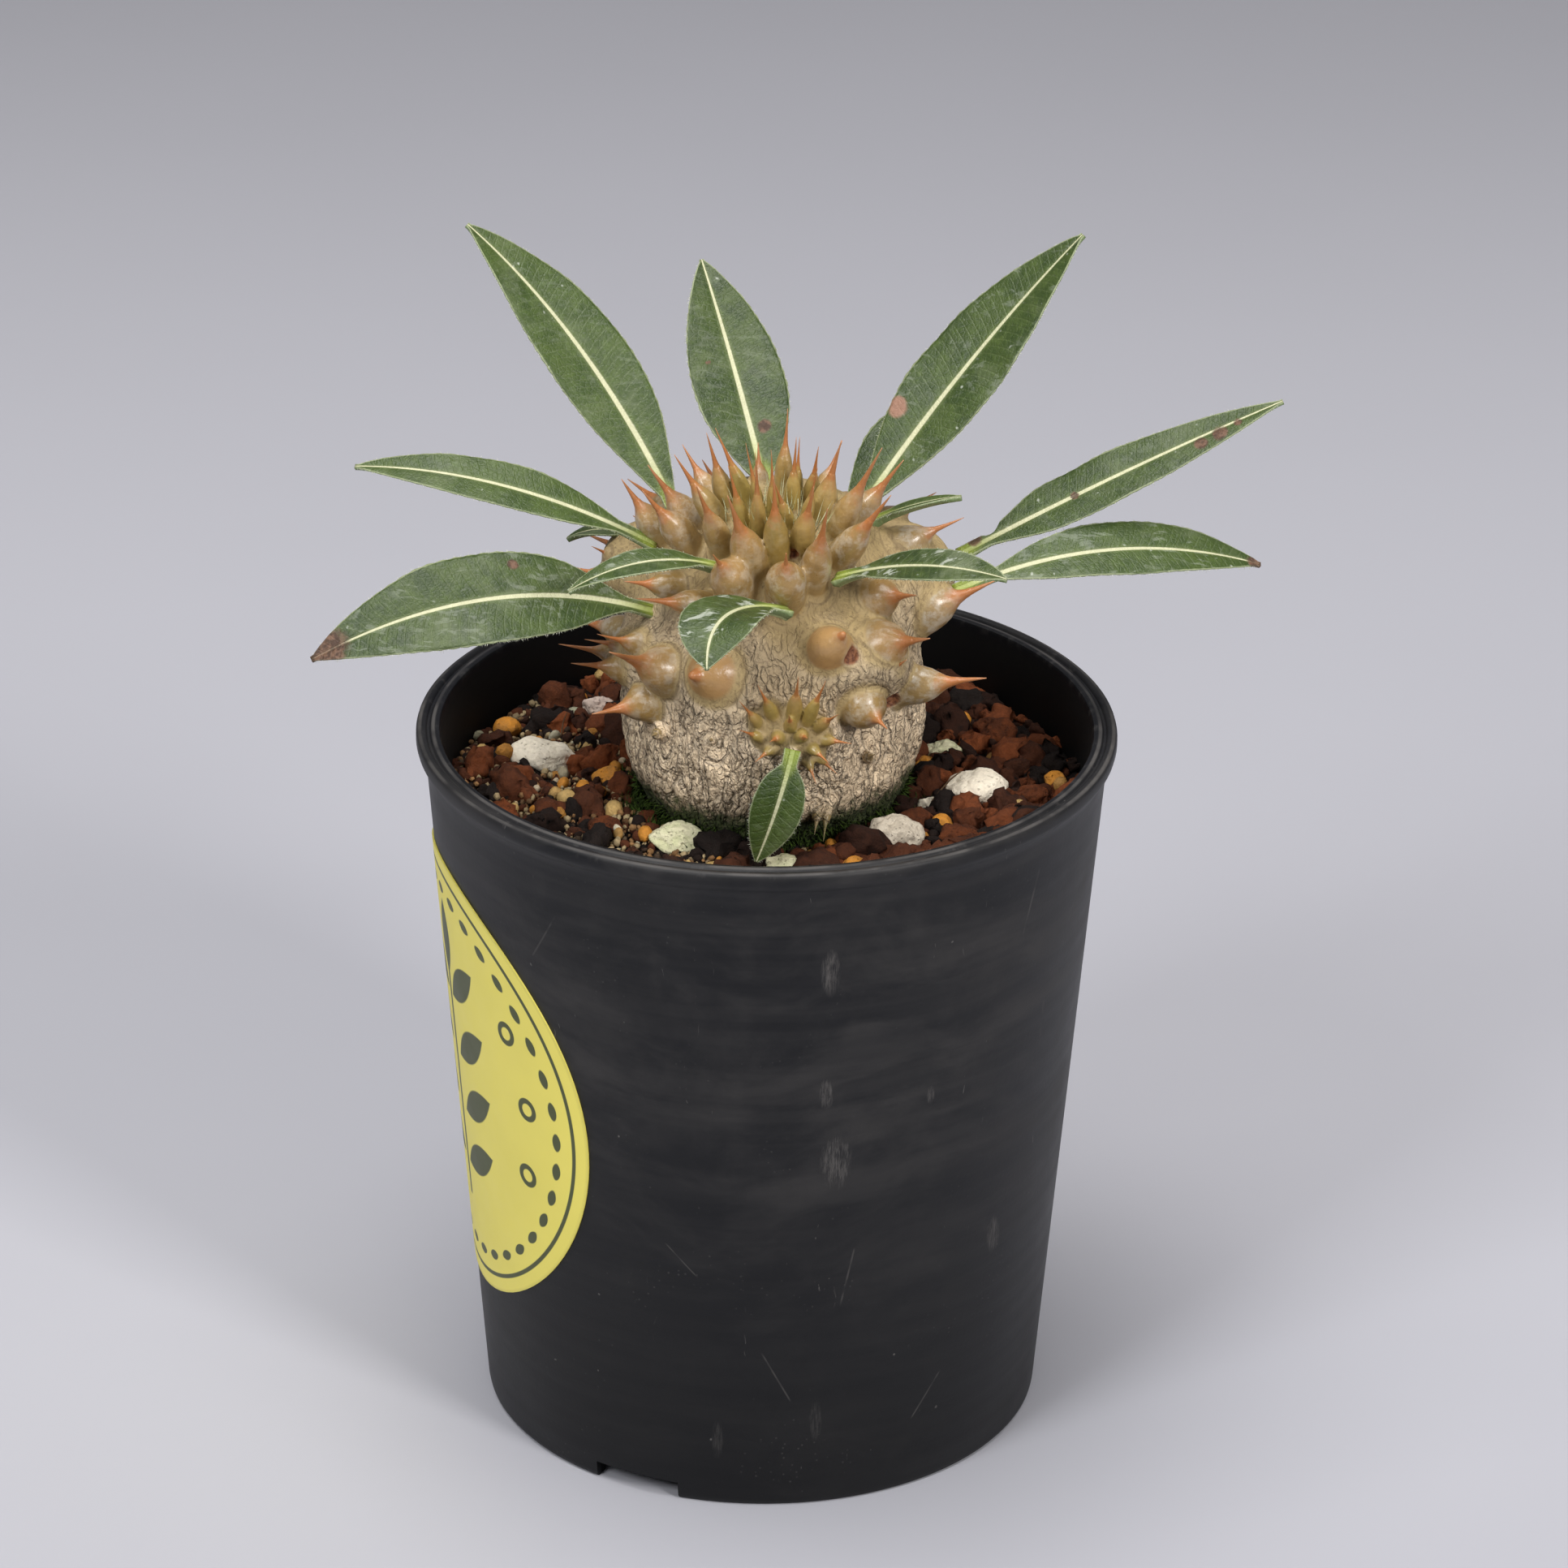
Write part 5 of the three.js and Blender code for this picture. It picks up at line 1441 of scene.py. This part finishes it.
# Middle from the pot's axis, width, depth and height of each stone.
PALE = ((-25.6, 7.3, 8.2, 5.5, 4.6), (24.1, -0.9, 7, 6.5, 5), (14.8, -13.4, 6, 5.2, 6),
        (-10, -14.2, 6.8, 5, 4), (2.2, -20.3, 5.4, 3.4, 2.6), (20.5, 11, 4.6, 3.6, 2.8),
        (-19.9, 21.7, 3.8, 3.4, 3), (18.6, -3.8, 2.6, 2.4, 2.2))
RED = ((26.5, 15, 5, 5.4, 4.4), (30.4, -1.9, 4.2, 3.4, 3.2), (22, -12.6, 6.2, 3.6, 3),
       (23.6, 6.6, 3, 3, 2.8), (-18, -11, 3.8, 3.2, 2.8))
ORANGE = ((-30.4, 15.5, 3.2, 3, 2.8), (-18.2, 2.6, 3.6, 3.2, 2.8), (18.4, 7, 2.8, 2.4, 2.2),
          (20, -8.6, 2.6, 2.6, 2.2), (9.9, -19.6, 3.4, 2.6, 2), (33.2, 2.8, 2.8, 2.8, 2.4),
          (-3.4, -19, 2.2, 2, 1.8))
# Height of the soil under the stones, and how far a stone's middle stands above it.
STONE_LEVEL = 75.3
STONE_RISE = 0.22
# Kind, rows, first seed, number of broken faces, roughness and depth of pits.
STONE_KINDS = (("pale", PALE, 20, 12, 0.22, 0.5), ("red", RED, 80, 10, 0.35, 0.7),
               ("orange", ORANGE, 50, 9, 0.1, 0.1))
# Stones whose colour differs from the rest of their kind.
STONE_LOOKS = {"stone_pale_3": "grey", "stone_pale_4": "cream", "stone_pale_5": "cream",
               "stone_pale_6": "cream", "stone_pale_7": "pink"}


def icosphere(levels):
    """Points and faces of a ball of even triangles."""
    long = (1 + math.sqrt(5)) / 2
    corners = [(-1, long, 0), (1, long, 0), (-1, -long, 0), (1, -long, 0), (0, -1, long),
               (0, 1, long), (0, -1, -long), (0, 1, -long), (long, 0, -1), (long, 0, 1),
               (-long, 0, -1), (-long, 0, 1)]
    points = [Vector(corner).normalized() for corner in corners]
    faces = [(0, 11, 5), (0, 5, 1), (0, 1, 7), (0, 7, 10), (0, 10, 11), (1, 5, 9), (5, 11, 4),
             (11, 10, 2), (10, 7, 6), (7, 1, 8), (3, 9, 4), (3, 4, 2), (3, 2, 6), (3, 6, 8),
             (3, 8, 9), (4, 9, 5), (2, 4, 11), (6, 2, 10), (8, 6, 7), (9, 8, 1)]
    for _ in range(levels):
        halfway, finer = {}, []

        def middle(a, b):
            key = (min(a, b), max(a, b))
            if key not in halfway:
                halfway[key] = len(points)
                points.append((points[a] + points[b]).normalized())
            return halfway[key]

        for a, b, c in faces:
            ab, bc, ca = middle(a, b), middle(b, c), middle(c, a)
            finer += [(a, ab, ca), (b, bc, ab), (c, ca, bc), (ab, bc, ca)]
        faces = finer
    return np.array([tuple(point) for point in points]), faces


def broken(directions, size, seed, facets, rough, pits):
    """A ball's points drawn in to the shape of a broken stone."""
    rng = random.Random(seed)
    cuts = []
    for _ in range(facets):
        cut = Vector((rng.gauss(0, 1), rng.gauss(0, 1), rng.gauss(0, 1))).normalized()
        cuts.append((np.array(cut), rng.uniform(0.72, 1.0)))
    reach = np.full(len(directions), 1.06)
    for cut, far in cuts:
        lean = directions @ cut
        reach = eased(reach, np.where(lean > 0.05, far / np.maximum(lean, 0.05), 9.0), 0.1)
    shape = directions * reach[:, None] * (np.array(size) / 2)
    offset = Vector((seed * 3.7, seed * 1.3, 0))
    push = []
    for point in shape:
        spot = Vector(point) + offset
        ground = noise.fractal(spot / 1.3, 1.0, 2.0, 4) * rough
        hole = noise.noise(spot / 0.55)
        push.append(ground - pits * max(0.0, hole - 0.25))
    return shape + directions * np.array(push)[:, None]


def stone_finish(name, main, other, dark, rough=0.9, stain=0.3):
    """A matt stone: two tones in patches, dark pits, and a faint green stain low down."""
    stone = Finish(name, Specular_IOR_Level=0.3)
    _, _, z = stone.axes()
    patch = stone.grain(1.6, 4, 0.65)
    tone = stone.blend(patch.step(0.4, 0.62), main, other)
    tone = stone.toned(tone, 0.9 + 0.34 * stone.grain(0.5, 4, 0.7))
    pits = 1 - stone.cells(0.55, place=stone.warped(0.8, 0.5)).step(0.06, 0.3)
    tone = stone.blend(pits * stone.grain(1.2, 2).step(0.45, 0.6) * 0.45, tone, dark)
    tone = stone.blend((1 - (z + 2 * patch).step(75.6, 78.6)) * stain, tone, (0.16, 0.16, 0.05))
    under = stone.relief(stone.grain(0.6, 5, 0.7), 0.35)
    under = stone.relief(pits * -1.0, 0.12, under)
    return stone.set(Base_Color=tone, Roughness=rough - 0.1 * patch, Normal=under)


def build_stones():
    """Breaks each ball into its stone's shape and sets it on the soil."""
    soil = soil_sizes()
    pale, orange, red = soil.pale, soil.orange, soil.red
    finishes = {
        "pale": stone_finish("pale_stone", pale, shade(pale, 0.9), (0.3, 0.23, 0.15), 0.85, 0.3),
        "cream": stone_finish("pale_stone_cream", (0.78, 0.74, 0.5), (0.66, 0.66, 0.4),
                              (0.3, 0.26, 0.12)),
        "grey": stone_finish("pale_stone_grey", (0.66, 0.58, 0.46), (0.52, 0.45, 0.35),
                             (0.15, 0.11, 0.07)),
        "pink": stone_finish("pale_stone_pink", (0.62, 0.49, 0.42), (0.5, 0.38, 0.32),
                             (0.2, 0.14, 0.1)),
        "red": stone_finish("red_stone", red, shade(red, 0.55), (0.03, 0.012, 0.006), 0.95, 0.0),
        "orange": stone_finish("orange_stone", orange, (0.46, 0.2, 0.04), (0.2, 0.07, 0.02), 0.7,
                               0.1),
    }
    ball = {level: icosphere(level) for level in (3, 4)}
    for kind, rows, first, facets, rough, pits in STONE_KINDS:
        for i, (x, y, width, depth, height) in enumerate(rows):
            name = f"stone_{kind}_{i + 1}"
            directions, faces = ball[4 if width > 3.1 else 3]
            points = broken(directions, (width, depth, height), first + i, facets, rough, pits)
            turn = math.radians(30 * (next(seeded(first + i)) - 0.5))
            points = points @ np.array(Matrix.Rotation(turn, 3, "Z")).T
            points += (x, y, STONE_LEVEL + STONE_RISE * height)
            piece = solid(name + "_rock", points, faces, finishes[STONE_LOOKS.get(name, kind)])
            settle(piece, kind + "_stone", name)


# The soil

def soil_height(x, y):
    coarse = math.sin(0.42 * x + 1.3) * math.sin(0.37 * y - 0.6)
    fine = math.sin(1.9 * x + 2.3 * math.sin(0.7 * y)) * math.sin(2.1 * y + 1.7 * math.sin(0.8 * x))
    return soil_sizes().relief / MM * (0.35 * coarse + 0.65 * fine)


def soil_edge(z):
    return wall_radius(z) - pot_sizes().wall / MM - 0.3


def soil_top(x, y):
    level = soil_sizes().level / MM
    fade = min(1, max(0, (soil_edge(level) - math.hypot(x, y)) / 3))
    return level + soil_height(x, y) * fade


def soil_finish():
    soil = soil_sizes()
    bed = Finish("potting_grit", Specular_IOR_Level=0.25)
    patch = bed.grain(2.2, 5, 0.7)
    tone = bed.blend(patch.step(0.4, 0.65), shade(soil.dark, 0.35), shade(soil.dark, 0.9))
    crumbs = 1 - bed.cells(0.8, place=bed.warped(1, 0.5)).step(0.1, 0.4)
    tone = bed.blend(crumbs * bed.grain(2, 2).step(0.5, 0.65) * 0.4, tone, shade(soil.red, 0.7))
    under = bed.relief(bed.grain(0.9, 5, 0.7), 0.8)
    return bed.set(Base_Color=tone, Roughness=0.82 + 0.15 * patch, Normal=under)


def grain_finish(name, tones, rough=0.92):
    """Lumps and grains whose tone differs from one to the next, from a row of colours."""
    grit = Finish(name, Specular_IOR_Level=0.3)
    tint = grit.field("tint")
    stops = [(i / len(tones), tone) for i, tone in enumerate(tones)]
    tone = grit.node("ShaderNodeValToRGB", {"stops": stops}, tint)
    tone = grit.toned(tone, 0.3 + 1.3 * grit.grain(0.7, 4, 0.7))
    under = grit.relief(grit.grain(0.5, 4, 0.7), 0.3)
    return grit.set(Base_Color=tone, Roughness=rough - 0.1 * tint, Normal=under)


def scatter():
    """A tree that strews broken lumps over a surface, clear of what stands there."""
    growth = Growth("soil_grains", Apart=0.002, Smallest=0.5, Largest=1.0, Width=0.002, Rough=0.3,
                    Sink=0.0, Faces=2, Seed=1, Material=None)
    dots = growth.strewn(4.0e7)
    wide = growth.chance(growth.given("Smallest"), growth.given("Largest"), 1)
    wide = (wide * growth.given("Width")).least(growth.kept("room") * 1.25)
    odd = growth.chance((0.75, 0.75, 0.6), (1.2, 1.2, 0.95), 2)
    turn = growth.chance((0, 0, 0), (6.3, 6.3, 6.3), 3)
    ball = growth.node("GeometryNodeMeshIcoSphere", None, 0.5, growth.given("Faces"))
    lumps = growth.node("GeometryNodeInstanceOnPoints", None, dots, Instance=ball, Rotation=turn,
                        Scale=growth.vector("SCALE", odd, wide))
    lumps = growth.tinted(lumps, 4)
    drop = growth.node("ShaderNodeCombineXYZ", None, 0.0, 0.0, wide * growth.given("Sink"))
    lumps = growth.node("GeometryNodeTranslateInstances", None, lumps, Local_Space=False,
                        Translation=drop)
    real = growth.node("GeometryNodeRealizeInstances", None, lumps)
    where = growth.node("GeometryNodeInputPosition")
    push = growth.node("ShaderNodeTexNoise", None, where, Scale=700.0, Detail=2.0, out="Color")
    push = growth.vector("SUBTRACT", push, (0.5, 0.5, 0.5))
    reach = growth.given("Width") * growth.given("Rough") * 2.0
    real = growth.node("GeometryNodeSetPosition", None, real,
                       Offset=growth.vector("SCALE", push, reach))
    return growth.end(real)


def clear_of(x, y):
    """How far a spot on the soil is from the wall, the trunk and the stones."""
    level = soil_sizes().level / MM
    room = soil_edge(level) - math.hypot(x, y)
    room = min(room, math.hypot(x - TRUNK_X, y) - 15.8)
    for sx, sy, width, depth, _ in PALE + RED + ORANGE:
        room = min(room, math.hypot(x - sx, y - sy) - (width + depth) / 4.4)
    return room


def soil_patch(name, share, lift=0.0):
    """The soil's upper face as a host for grains. Share says how thickly they lie at a spot."""
    pitch, reach = 0.75, 37.5
    across = np.arange(-reach, reach + pitch, pitch)
    number, points, room, thick, faces = {}, [], [], [], []
    for i, x in enumerate(across):
        for j, y in enumerate(across):
            near = clear_of(x, y)
            if near < -0.4:
                continue
            number[i, j] = len(points)
            points.append((x, y, soil_top(x, y) + lift))
            room.append(max(0.0, near + 0.35) * 2 * MM)
            thick.append(share(x, y) * (near > 0.1))
    for (i, j), first in number.items():
        ring = [number.get(key) for key in ((i, j), (i + 1, j), (i + 1, j + 1), (i, j + 1))]
        if None not in ring:
            faces.append(tuple(ring))
    return solid(name, points, faces, None, {"room": room, "share": thick})


def blades():
    """A tree that stands short leaning blades on a surface."""
    growth = Growth("standing_blades", Apart=0.0004, Length=0.0009, Thickness=0.00016, Sway=0.9,
                    Seed=5, Material=None)
    dots = growth.strewn(2.0e7)
    sway = growth.vector("SCALE", growth.chance((-0.9, -0.9, -0.4), (0.9, 0.9, 0.7), 1),
                         growth.given("Sway"))
    heading = growth.vector("ADD", dots.beside("Normal"), sway)
    return growth.end(growth.tinted(growth.spikes(dots, heading, growth.chance(0.4, 1.25, 2)), 3))


def moss_collar():
    """A host for moss: the foot of the trunk and the soil close round it."""
    points, share = [], []
    around, rows = 120, 14
    for row in range(rows):
        far = row / (rows - 1)
        for i in range(around):
            turn = 2 * math.pi * i / around
            front = 0.5 - 0.5 * math.sin(turn)
            climb = 3.4 + 2.0 * front
            if far < 0.5:
                ragged = 0.75 + 0.5 * noise.noise(Vector((turn * 3, 4.0, 0.0)))
                z = 75.0 + climb * (1 - far / 0.5) * ragged
                radius = float(trunk_radius(z)) + 0.12
                at = (TRUNK_X + radius * math.cos(turn), radius * math.sin(turn), z)
            else:
                radius = float(trunk_radius(75.0)) + 0.12 + 4.4 * (far - 0.5) / 0.5
                x, y = TRUNK_X + radius * math.cos(turn), radius * math.sin(turn)
                at = (x, y, max(75.0, soil_top(x, y) + 0.1))
            points.append(at)
            patch = noise.noise(Vector(at) / 2.2) * 0.5 + 0.5
            fade = float(step(far, 0.0, 0.25) * (1 - step(far, 0.65, 1.0)))
            share.append(fade * float(step(patch, 0.1, 0.4)) * (0.45 + 0.55 * front))
    return solid("moss_collar", points, strips(rows, around), None, {"share": share})


def build_soil():
    sizes = soil_sizes()
    level = sizes.level / MM
    edge = soil_edge(level)
    rings = [edge * (1 - (i / 40)) for i in range(30)] + [8, 6, 4, 2, 0]
    outline = [(0, 4.3), (soil_edge(4.3) - 0.6, 4.3), (soil_edge(5), 5),
               (soil_edge(INNER_BEND), INNER_BEND),
               (edge, level - 1)]
    outline += [(radius, level) for radius in rings]
    points, faces = turned(outline, 128)
    tops = points[:, 2] > level - 0.1
    points[tops, 2] = [soil_top(x, y) for x, y, _ in points[tops]]
    within = tops & (np.hypot(points[:, 0] - TRUNK_X, points[:, 1]) < 12)
    points[within, 2] = level
    bed = solid("soil_bed", points, faces, soil_finish())
    settle(bed, "potting_grit", "soil")


def build_grains():
    """Strews each kind of grain over the soil, from the widest to the finest."""
    sizes, tree = soil_sizes(), scatter()
    red, dark, orange = sizes.red, sizes.dark, sizes.orange

    def fine_side(x, y):
        return float(step(-x - 0.6 * y, 4, 20) * step(math.hypot(x, y), 12, 20))

    def strew(name, finish, tones, rough, plain, fine, seed, faces, **values):
        ground = soil_patch(name + "_ground", lambda x, y: plain + fine * fine_side(x, y))
        piece = grown(name, ground, tree, grain_finish(finish, tones, rough), Faces=faces,
                      Seed=sizes.seed + seed, **values)
        settle(piece, "potting_grit")

    strew("soil_lumps", "red_lumps",
          (shade(red, 0.25), shade(dark, 0.5), red, shade(red, 0.36), shade(red, 1.8),
           shade(dark, 0.7)),
          0.92, 0.95, -0.62, 0, 3, Apart=sizes.lump * 0.55, Smallest=0.4, Largest=1.3,
          Width=sizes.lump, Rough=0.36, Sink=0.12)
    strew("soil_crumbs", "dark_crumbs", (shade(dark, 1.4), shade(dark, 0.6), shade(red, 0.7)),
          0.92, 0.8, 0.0, 10, 2, Apart=0.0013, Smallest=0.5, Largest=1.6, Width=0.0014, Rough=0.3,
          Sink=0.1)
    strew("amber_grains", "amber_grit", (orange, (0.32, 0.15, 0.03), (0.5, 0.33, 0.12)),
          0.6, 0.16, 0.1, 20, 2, Apart=0.0026, Smallest=0.4, Largest=1.6, Width=0.0016, Rough=0.2,
          Sink=0.5)
    strew("pale_grains", "pale_grit", ((0.6, 0.52, 0.38), (0.3, 0.3, 0.2), (0.45, 0.36, 0.24)),
          0.8, 0.06, 0.2, 30, 2, Apart=0.0024, Smallest=0.4, Largest=1.3, Width=0.0012, Rough=0.25,
          Sink=0.6)
    strew("fine_grit", "mixed_grit",
          ((0.1, 0.05, 0.02), (0.34, 0.18, 0.07), (0.04, 0.022, 0.012), (0.4, 0.3, 0.16)),
          0.8, 0.05, 0.95, 40, 1, Apart=0.00062, Smallest=0.5, Largest=1.3, Width=0.0008,
          Rough=0.25, Sink=0.45)


def build_moss():
    green = soil_sizes().moss
    moss = grain_finish("moss", (shade(green, 0.3), green, shade(green, 0.6)), 0.95)
    piece = grown("moss_tufts", moss_collar(), blades(), moss, Apart=0.00018, Length=0.0012,
                  Thickness=0.00013, Sway=0.9, Seed=5)
    settle(piece, "potting_grit")


def twig_finish():
    wood = Finish("dry_twig", Specular_IOR_Level=0.3)
    tone = wood.blend(wood.grain(0.8, 3), (0.05, 0.03, 0.015), (0.15, 0.09, 0.045))
    return wood.set(Base_Color=tone, Roughness=0.7 + 0.2 * wood.grain(0.5, 2),
                    Normal=wood.relief(wood.grain(0.3, 3), 0.05))


def build_twigs():
    """Two dry stalks that lie on the stones."""
    parts = []
    for path, thick in ((((18.9, -4.6, 76.6), (19.8, -4.5, 78.0), (21.0, -4.3, 79.4),
                          (22.2, -4.0, 80.3)), 0.14),
                        (((-23.8, 8.4, 78.4), (-23.6, 9.6, 79.6), (-23.2, 10.6, 80.4)), 0.1)):
        path = np.array(path, float)
        where = np.linspace(0, len(path) - 1, 16)
        line = np.stack([np.interp(where, range(len(path)), path[:, i]) for i in range(3)], 1)
        radii = np.linspace(thick, thick * 0.5, 16)
        points, faces = swept(line, radii, 7)
        parts.append((points, faces, {"none": 0.0}))
    points, faces, _ = joined(parts)
    settle(solid("dry_twigs", points, faces, twig_finish()), "potting_grit")


# The stage

def floor_finish():
    floor = Finish("studio_floor", Roughness=0.55, Specular_IOR_Level=0.35)
    _, y, _ = floor.axes()
    # Painted shade: the floor darkens towards the back, and by a tenth in front of the pot.
    tone = floor.toned(bpy.context.scene.plant_stage.floor, 1.0 - 0.3 * y.step(220.0, 640.0))
    tone = floor.toned(tone, 1.0 - 0.1 * (1 - y.step(-150.0, 30.0)))
    tone = floor.toned(tone, 0.99 + 0.03 * floor.grain(60, 3))
    return floor.set(Base_Color=tone)


# Each lamp's place, the height it looks at, its size, power and tint.
LAMPS = {
    "top_softbox": ((-0.1, -0.05, 1.25), 0.05, (0.8, 0.7), 12.5, (1.0, 0.985, 0.97)),
    "right_softbox": ((0.85, -0.95, 0.85), 0.08, (0.3, 0.36), 12.6, (1.0, 0.98, 0.96)),
    "left_softbox": ((-0.7, -0.85, 0.95), 0.08, (0.4, 0.44), 9.2, (0.98, 0.99, 1.0)),
}
SKY_COLOUR = (0.62, 0.63, 0.67, 1)
SKY_STRENGTH = 0.24
# The floor's half width, where it starts and where it bends up, in millimetres.
FLOOR_REACH = 1800
FLOOR_START = -1500
FLOOR_BEND = 900
FLOOR_CURVE = 600


def lamp(name, place, height, size, power, tint):
    data = bpy.data.lights.new(name, "AREA")
    data.shape, data.size, data.size_y = "RECTANGLE", size[0], size[1]
    data.energy, data.color = power * bpy.context.scene.plant_stage.light, tint
    light = bpy.data.objects.new(name, data)
    light.location = place
    aim = Vector((0, 0, height)) - Vector(place)
    light.rotation_euler = aim.to_track_quat("-Z", "Y").to_euler()
    bpy.context.scene.collection.objects.link(light)


def build_stage():
    stage = bpy.context.scene.plant_stage
    scene = bpy.context.scene
    scene.view_settings.view_transform = "Standard"
    profile = [(FLOOR_START, 0), (FLOOR_BEND, 0)]
    for degrees in range(6, 91, 6):
        turn = math.radians(degrees)
        profile.append((FLOOR_BEND + FLOOR_CURVE * math.sin(turn),
                        FLOOR_CURVE * (1 - math.cos(turn))))
    profile.append((FLOOR_BEND + FLOOR_CURVE, FLOOR_REACH))
    points = [(side, y, z) for y, z in profile for side in (-FLOOR_REACH, FLOOR_REACH)]
    faces = [(i, i + 1, i + 3, i + 2) for i in range(0, len(points) - 2, 2)]
    solid("studio_floor", points, faces, floor_finish())
    for name, values in LAMPS.items():
        lamp(name, *values)
    world = bpy.data.worlds.new("studio")
    world.use_nodes = True
    sky = world.node_tree.nodes["Background"]
    sky.inputs["Color"].default_value = SKY_COLOUR
    sky.inputs["Strength"].default_value = SKY_STRENGTH
    scene.world = world
    place_camera(scene, stage)


def place_camera(scene, stage):
    """The camera at the photograph's viewing angle."""
    tilt = stage.elevation
    along = Vector((0, math.cos(tilt), -math.sin(tilt)))
    right = Vector((1, 0, 0))
    up = right.cross(along)
    spin = stage.roll
    right, up = (math.cos(spin) * right + math.sin(spin) * up,
                 math.cos(spin) * up - math.sin(spin) * right)
    aim = Vector((AXIS_X * MM + stage.aim_side, 0, stage.aim_height))
    data = bpy.data.cameras.new("photo_camera")
    data.lens, data.sensor_width = stage.lens, 36.0
    data.clip_start, data.clip_end = 0.05, 20.0
    camera = bpy.data.objects.new("photo_camera", data)
    turn = Matrix((right, up, -along)).transposed().to_4x4()
    camera.matrix_world = Matrix.Translation(aim - along * stage.distance) @ turn
    scene.collection.objects.link(camera)
    scene.camera = camera


# Operators, panel and main

class PLANT_OT_stage(bpy.types.Operator):
    """Sets up the floor, the soft lights and the camera"""
    bl_idname = "plant.stage"
    bl_label = "Build Stage"

    def execute(self, context):
        build_stage()
        return {"FINISHED"}


class PLANT_OT_pot(bpy.types.Operator):
    """Turns the pot and cuts its notches and drain holes"""
    bl_idname = "plant.pot"
    bl_label = "Build Pot"

    def execute(self, context):
        build_pot()
        return {"FINISHED"}


class PLANT_OT_label(bpy.types.Operator):
    """Bends the round label onto the pot"""
    bl_idname = "plant.label"
    bl_label = "Build Label"

    def execute(self, context):
        build_label()
        return {"FINISHED"}


class PLANT_OT_soil(bpy.types.Operator):
    """Fills the pot and strews lumps, grains, moss and twigs on top"""
    bl_idname = "plant.soil"
    bl_label = "Build Soil"

    def execute(self, context):
        build_soil()
        build_grains()
        build_moss()
        build_twigs()
        return {"FINISHED"}


class PLANT_OT_stones(bpy.types.Operator):
    """Breaks the loose stones into shape and lays them on the soil"""
    bl_idname = "plant.stones"
    bl_label = "Build Stones"

    def execute(self, context):
        build_stones()
        return {"FINISHED"}


class PLANT_OT_caudex(bpy.types.Operator):
    """Grows the swollen trunk with its bark and thorns"""
    bl_idname = "plant.caudex"
    bl_label = "Build Caudex"

    def execute(self, context):
        build_caudex()
        build_fibres()
        return {"FINISHED"}


class PLANT_OT_leaves(bpy.types.Operator):
    """Spreads the leaves and sets hairs along their margins"""
    bl_idname = "plant.leaves"
    bl_label = "Build Leaves"

    def execute(self, context):
        build_leaves()
        build_fringe()
        return {"FINISHED"}


OPERATORS = (PLANT_OT_stage, PLANT_OT_pot, PLANT_OT_label, PLANT_OT_soil, PLANT_OT_stones,
             PLANT_OT_caudex,
             PLANT_OT_leaves)


class PLANT_PT_sidebar(bpy.types.Panel):
    """Sizes and colours of the plant, with a button for each piece"""
    bl_idname = "PLANT_PT_sidebar"
    bl_label = "Potted Thorny Caudex"
    bl_space_type = "VIEW_3D"
    bl_region_type = "UI"
    bl_category = "Potted Plant"

    def draw(self, context):
        for group in (context.scene.plant_pot, context.scene.plant_soil, context.scene.plant_body,
                      context.scene.plant_stage):
            box = self.layout.box()
            for name in group.bl_rna.properties.keys():
                if name not in ("rna_type", "name"):
                    box.prop(group, name)
        for operator in OPERATORS:
            self.layout.operator(operator.bl_idname)


GROUPS = {"plant_pot": PotSizes, "plant_soil": SoilSizes, "plant_body": PlantSizes,
          "plant_stage": StageSizes}


def register():
    for group in GROUPS.values():
        bpy.utils.register_class(group)
    for name, group in GROUPS.items():
        setattr(bpy.types.Scene, name, PointerProperty(type=group))
    for entry in (*OPERATORS, PLANT_PT_sidebar):
        bpy.utils.register_class(entry)


def unregister():
    for entry in (PLANT_PT_sidebar, *reversed(OPERATORS)):
        bpy.utils.unregister_class(entry)
    for name, group in reversed(GROUPS.items()):
        delattr(bpy.types.Scene, name)
        bpy.utils.unregister_class(group)


def main():
    register()
    for operator in OPERATORS:
        group, name = operator.bl_idname.split(".")
        if getattr(getattr(bpy.ops, group), name)() != {"FINISHED"}:
            raise RuntimeError(f"{operator.bl_label} did not finish")
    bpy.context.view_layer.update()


if __name__ == "__main__":
    main()
